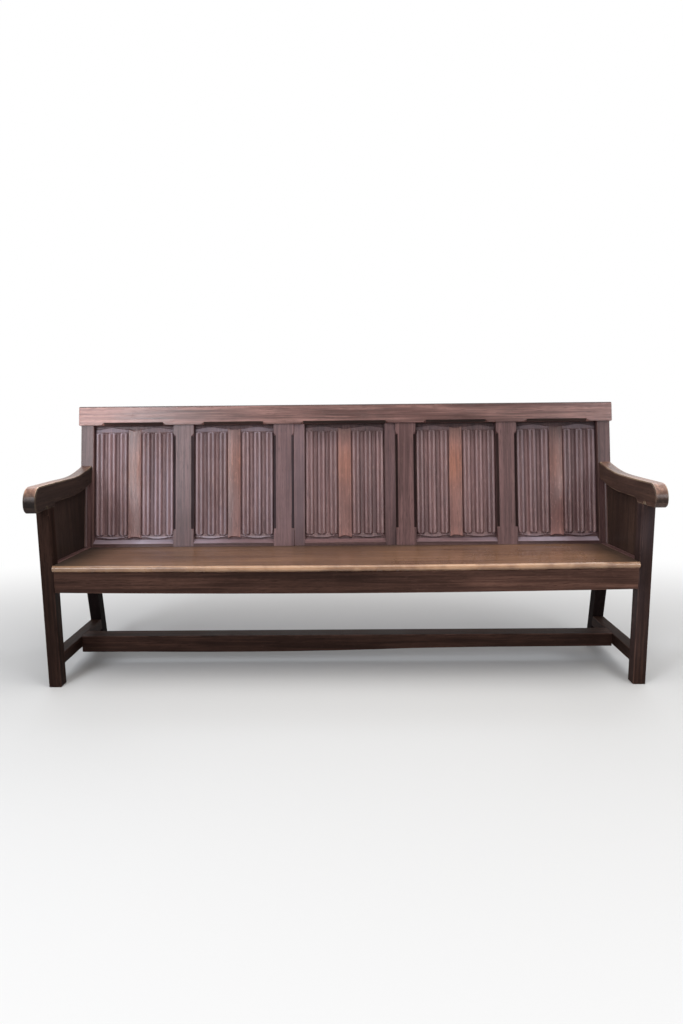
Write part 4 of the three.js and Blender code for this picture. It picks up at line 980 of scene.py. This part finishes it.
class SETTLE_OT_stage(bpy.types.Operator):
    """Set up the floor, the lights and the camera"""
    bl_idname = "settle.stage"
    bl_label = "Set up studio"

    def execute(self, context):
        studio = context.scene.settle_studio
        make_floor()
        make_world(studio.room)
        make_lights()
        make_camera(studio)
        context.scene.view_settings.view_transform = "Standard"
        return {"FINISHED"}


def ray_masks(t):
    """Masks of the camera's own rays, and of those that glossy or clear surfaces send on."""
    path = t.node("ShaderNodeLightPath").outputs
    return path["Is Camera Ray"], t.most(path["Is Glossy Ray"], path["Is Transmission Ray"])


FLOOR_RADIUS, FLOOR_CORNERS, FLOOR_UNDER_FEET = 9.0, 96, 0.0005
FLOOR_COLOUR = (0.64, 0.64, 0.64, 1)
# Where the floor begins to fade and is white, measured from the bench in a stretched round
FADE_BEGINS, FADE_ENDS, FADE_STRETCH = 0.9, 2.7, (0.75, 1.25, 0.0)
WHITE = (1, 1, 1, 1)


def make_floor():
    """A wide pale floor that fades into the white background far from the bench."""
    mesh = bpy.data.meshes.new("floor")
    turns = [2 * math.pi * i / FLOOR_CORNERS for i in range(FLOOR_CORNERS)]
    ring = [(FLOOR_RADIUS * math.cos(a), FLOOR_RADIUS * math.sin(a), -FLOOR_UNDER_FEET) for a in turns]
    mesh.from_pydata(ring, [], [list(range(FLOOR_CORNERS))])
    floor = linked("floor", mesh)
    material = bpy.data.materials.new("studio_floor")
    t = emptied_tree(material)
    plain = t.node("ShaderNodeBsdfDiffuse", {"Color": FLOOR_COLOUR})
    white = t.node("ShaderNodeEmission", {"Color": WHITE})
    size = t.node("ShaderNodeVectorMath", {0: t.stretched(t.place(), FADE_STRETCH)}, operation="LENGTH")
    far = t.ramp(size.outputs["Value"], FADE_BEGINS, FADE_ENDS)
    mixed = t.node("ShaderNodeMixShader", {0: t.mul(far, t.most(*ray_masks(t))), 1: plain.outputs[0],
                                           2: white.outputs[0]})
    t.node("ShaderNodeOutputMaterial", {"Surface": mixed.outputs[0]})
    mesh.materials.append(material)


def make_world(room):
    """Even light from all round and a white background, which the glossy oak mirrors only behind the bench."""
    world = bpy.context.scene.world or bpy.data.worlds.new("studio")
    bpy.context.scene.world = world
    t = emptied_tree(world)
    light = t.node("ShaderNodeBackground", {"Color": (1.0, 0.98, 0.96, 1), "Strength": room})
    white = t.node("ShaderNodeBackground", {"Color": WHITE})
    behind = t.ramp(t.parts(t.place())[1], 0.0, 0.3)
    camera, sent_on = ray_masks(t)
    mixed = t.node("ShaderNodeMixShader", {0: t.most(camera, t.mul(behind, sent_on)),
                                           1: light.outputs[0], 2: white.outputs[0]})
    t.node("ShaderNodeOutputWorld", {"Surface": mixed.outputs[0]})


LIGHTS = [
    # name, place, looks at, width, height, brightness, colour
    ("key", (-2.05, -3.0, 2.0), (-0.6, 0.2, 0.75), 1.05, 1.3, 14.0, (0.9, 0.94, 1.0)),
    ("fill", (2.5, -3.0, 1.75), (0.7, 0.2, 0.75), 0.9, 1.1, 9.0, (0.92, 0.95, 1.0)),
    ("overhead", (0.4, -0.9, 3.3), (0.2, -0.1, 0.4), 4.4, 2.4, 3.1, (1.0, 0.98, 0.95)),
    ("rim_left", (-1.7, 1.4, 2.4), (-0.8, 0.1, 0.4), 1.2, 1.1, 3.0, (0.9, 0.94, 1.0)),
    ("rim_right", (1.7, 1.4, 2.4), (0.8, 0.1, 0.4), 1.2, 1.1, 3.0, (0.9, 0.94, 1.0)),
]


def make_lights():
    for name, place, target, width, height, brightness, tint in LIGHTS:
        lamp = bpy.data.lights.new(name, "AREA")
        lamp.shape = "RECTANGLE"
        lamp.size, lamp.size_y = width, height
        lamp.energy = brightness * math.pi * width * height
        lamp.color = tint
        obj = linked(name, lamp)
        obj.location = place
        obj.rotation_euler = (Vector(target) - Vector(place)).to_track_quat("-Z", "Y").to_euler()
        obj.visible_camera = False


def make_camera(studio):
    """The camera of the picture: its place, aim and lens were fitted to the bench's own sizes."""
    ahead = Vector((math.sin(studio.yaw) * math.cos(studio.pitch), math.cos(studio.yaw) * math.cos(studio.pitch),
                    -math.sin(studio.pitch)))
    right = ahead.cross(Z).normalized()
    above = right.cross(ahead)
    lean = math.cos(studio.roll) * right + math.sin(studio.roll) * above
    top = lean.cross(ahead)
    data = bpy.data.cameras.new("camera")
    data.sensor_width = 36
    data.lens = studio.focal
    data.clip_start, data.clip_end = 0.05, 60
    camera = linked("camera", data)
    turn = Matrix((lean, top, -ahead)).transposed().to_4x4()
    camera.matrix_world = Matrix.Translation(studio.camera_place) @ turn
    bpy.context.scene.camera = camera


class SETTLE_PT_panel(bpy.types.Panel):
    """Steps and settings of the settle bench"""
    bl_idname = "SETTLE_PT_panel"
    bl_label = "Settle Bench"
    bl_space_type = "VIEW_3D"
    bl_region_type = "UI"
    bl_category = "Settle"

    def draw(self, context):
        for step in STEPS:
            self.layout.operator(step.bl_idname)
        for name, kind in SETTINGS.items():
            box = self.layout.box()
            for key in kind.__annotations__:
                box.prop(getattr(context.scene, name), key)


STEPS = (SETTLE_OT_legs, SETTLE_OT_seat, SETTLE_OT_back, SETTLE_OT_arms, SETTLE_OT_linenfold, SETTLE_OT_stage)
SETTINGS = {"settle_sizes": SettleSizes, "settle_finishes": SettleFinishes, "settle_studio": SettleStudio}
CLASSES = (*SETTINGS.values(), *STEPS, SETTLE_PT_panel)


def register():
    for cls in CLASSES:
        bpy.utils.register_class(cls)
    for name, kind in SETTINGS.items():
        setattr(bpy.types.Scene, name, bpy.props.PointerProperty(type=kind))


def unregister():
    for name in SETTINGS:
        delattr(bpy.types.Scene, name)
    for cls in reversed(CLASSES):
        bpy.utils.unregister_class(cls)


def main():
    register()
    bpy.ops.settle.legs()
    bpy.ops.settle.seat()
    bpy.ops.settle.back()
    bpy.ops.settle.arms()
    bpy.ops.settle.linenfold()
    bpy.ops.settle.stage()


if __name__ == "__main__":
    main()
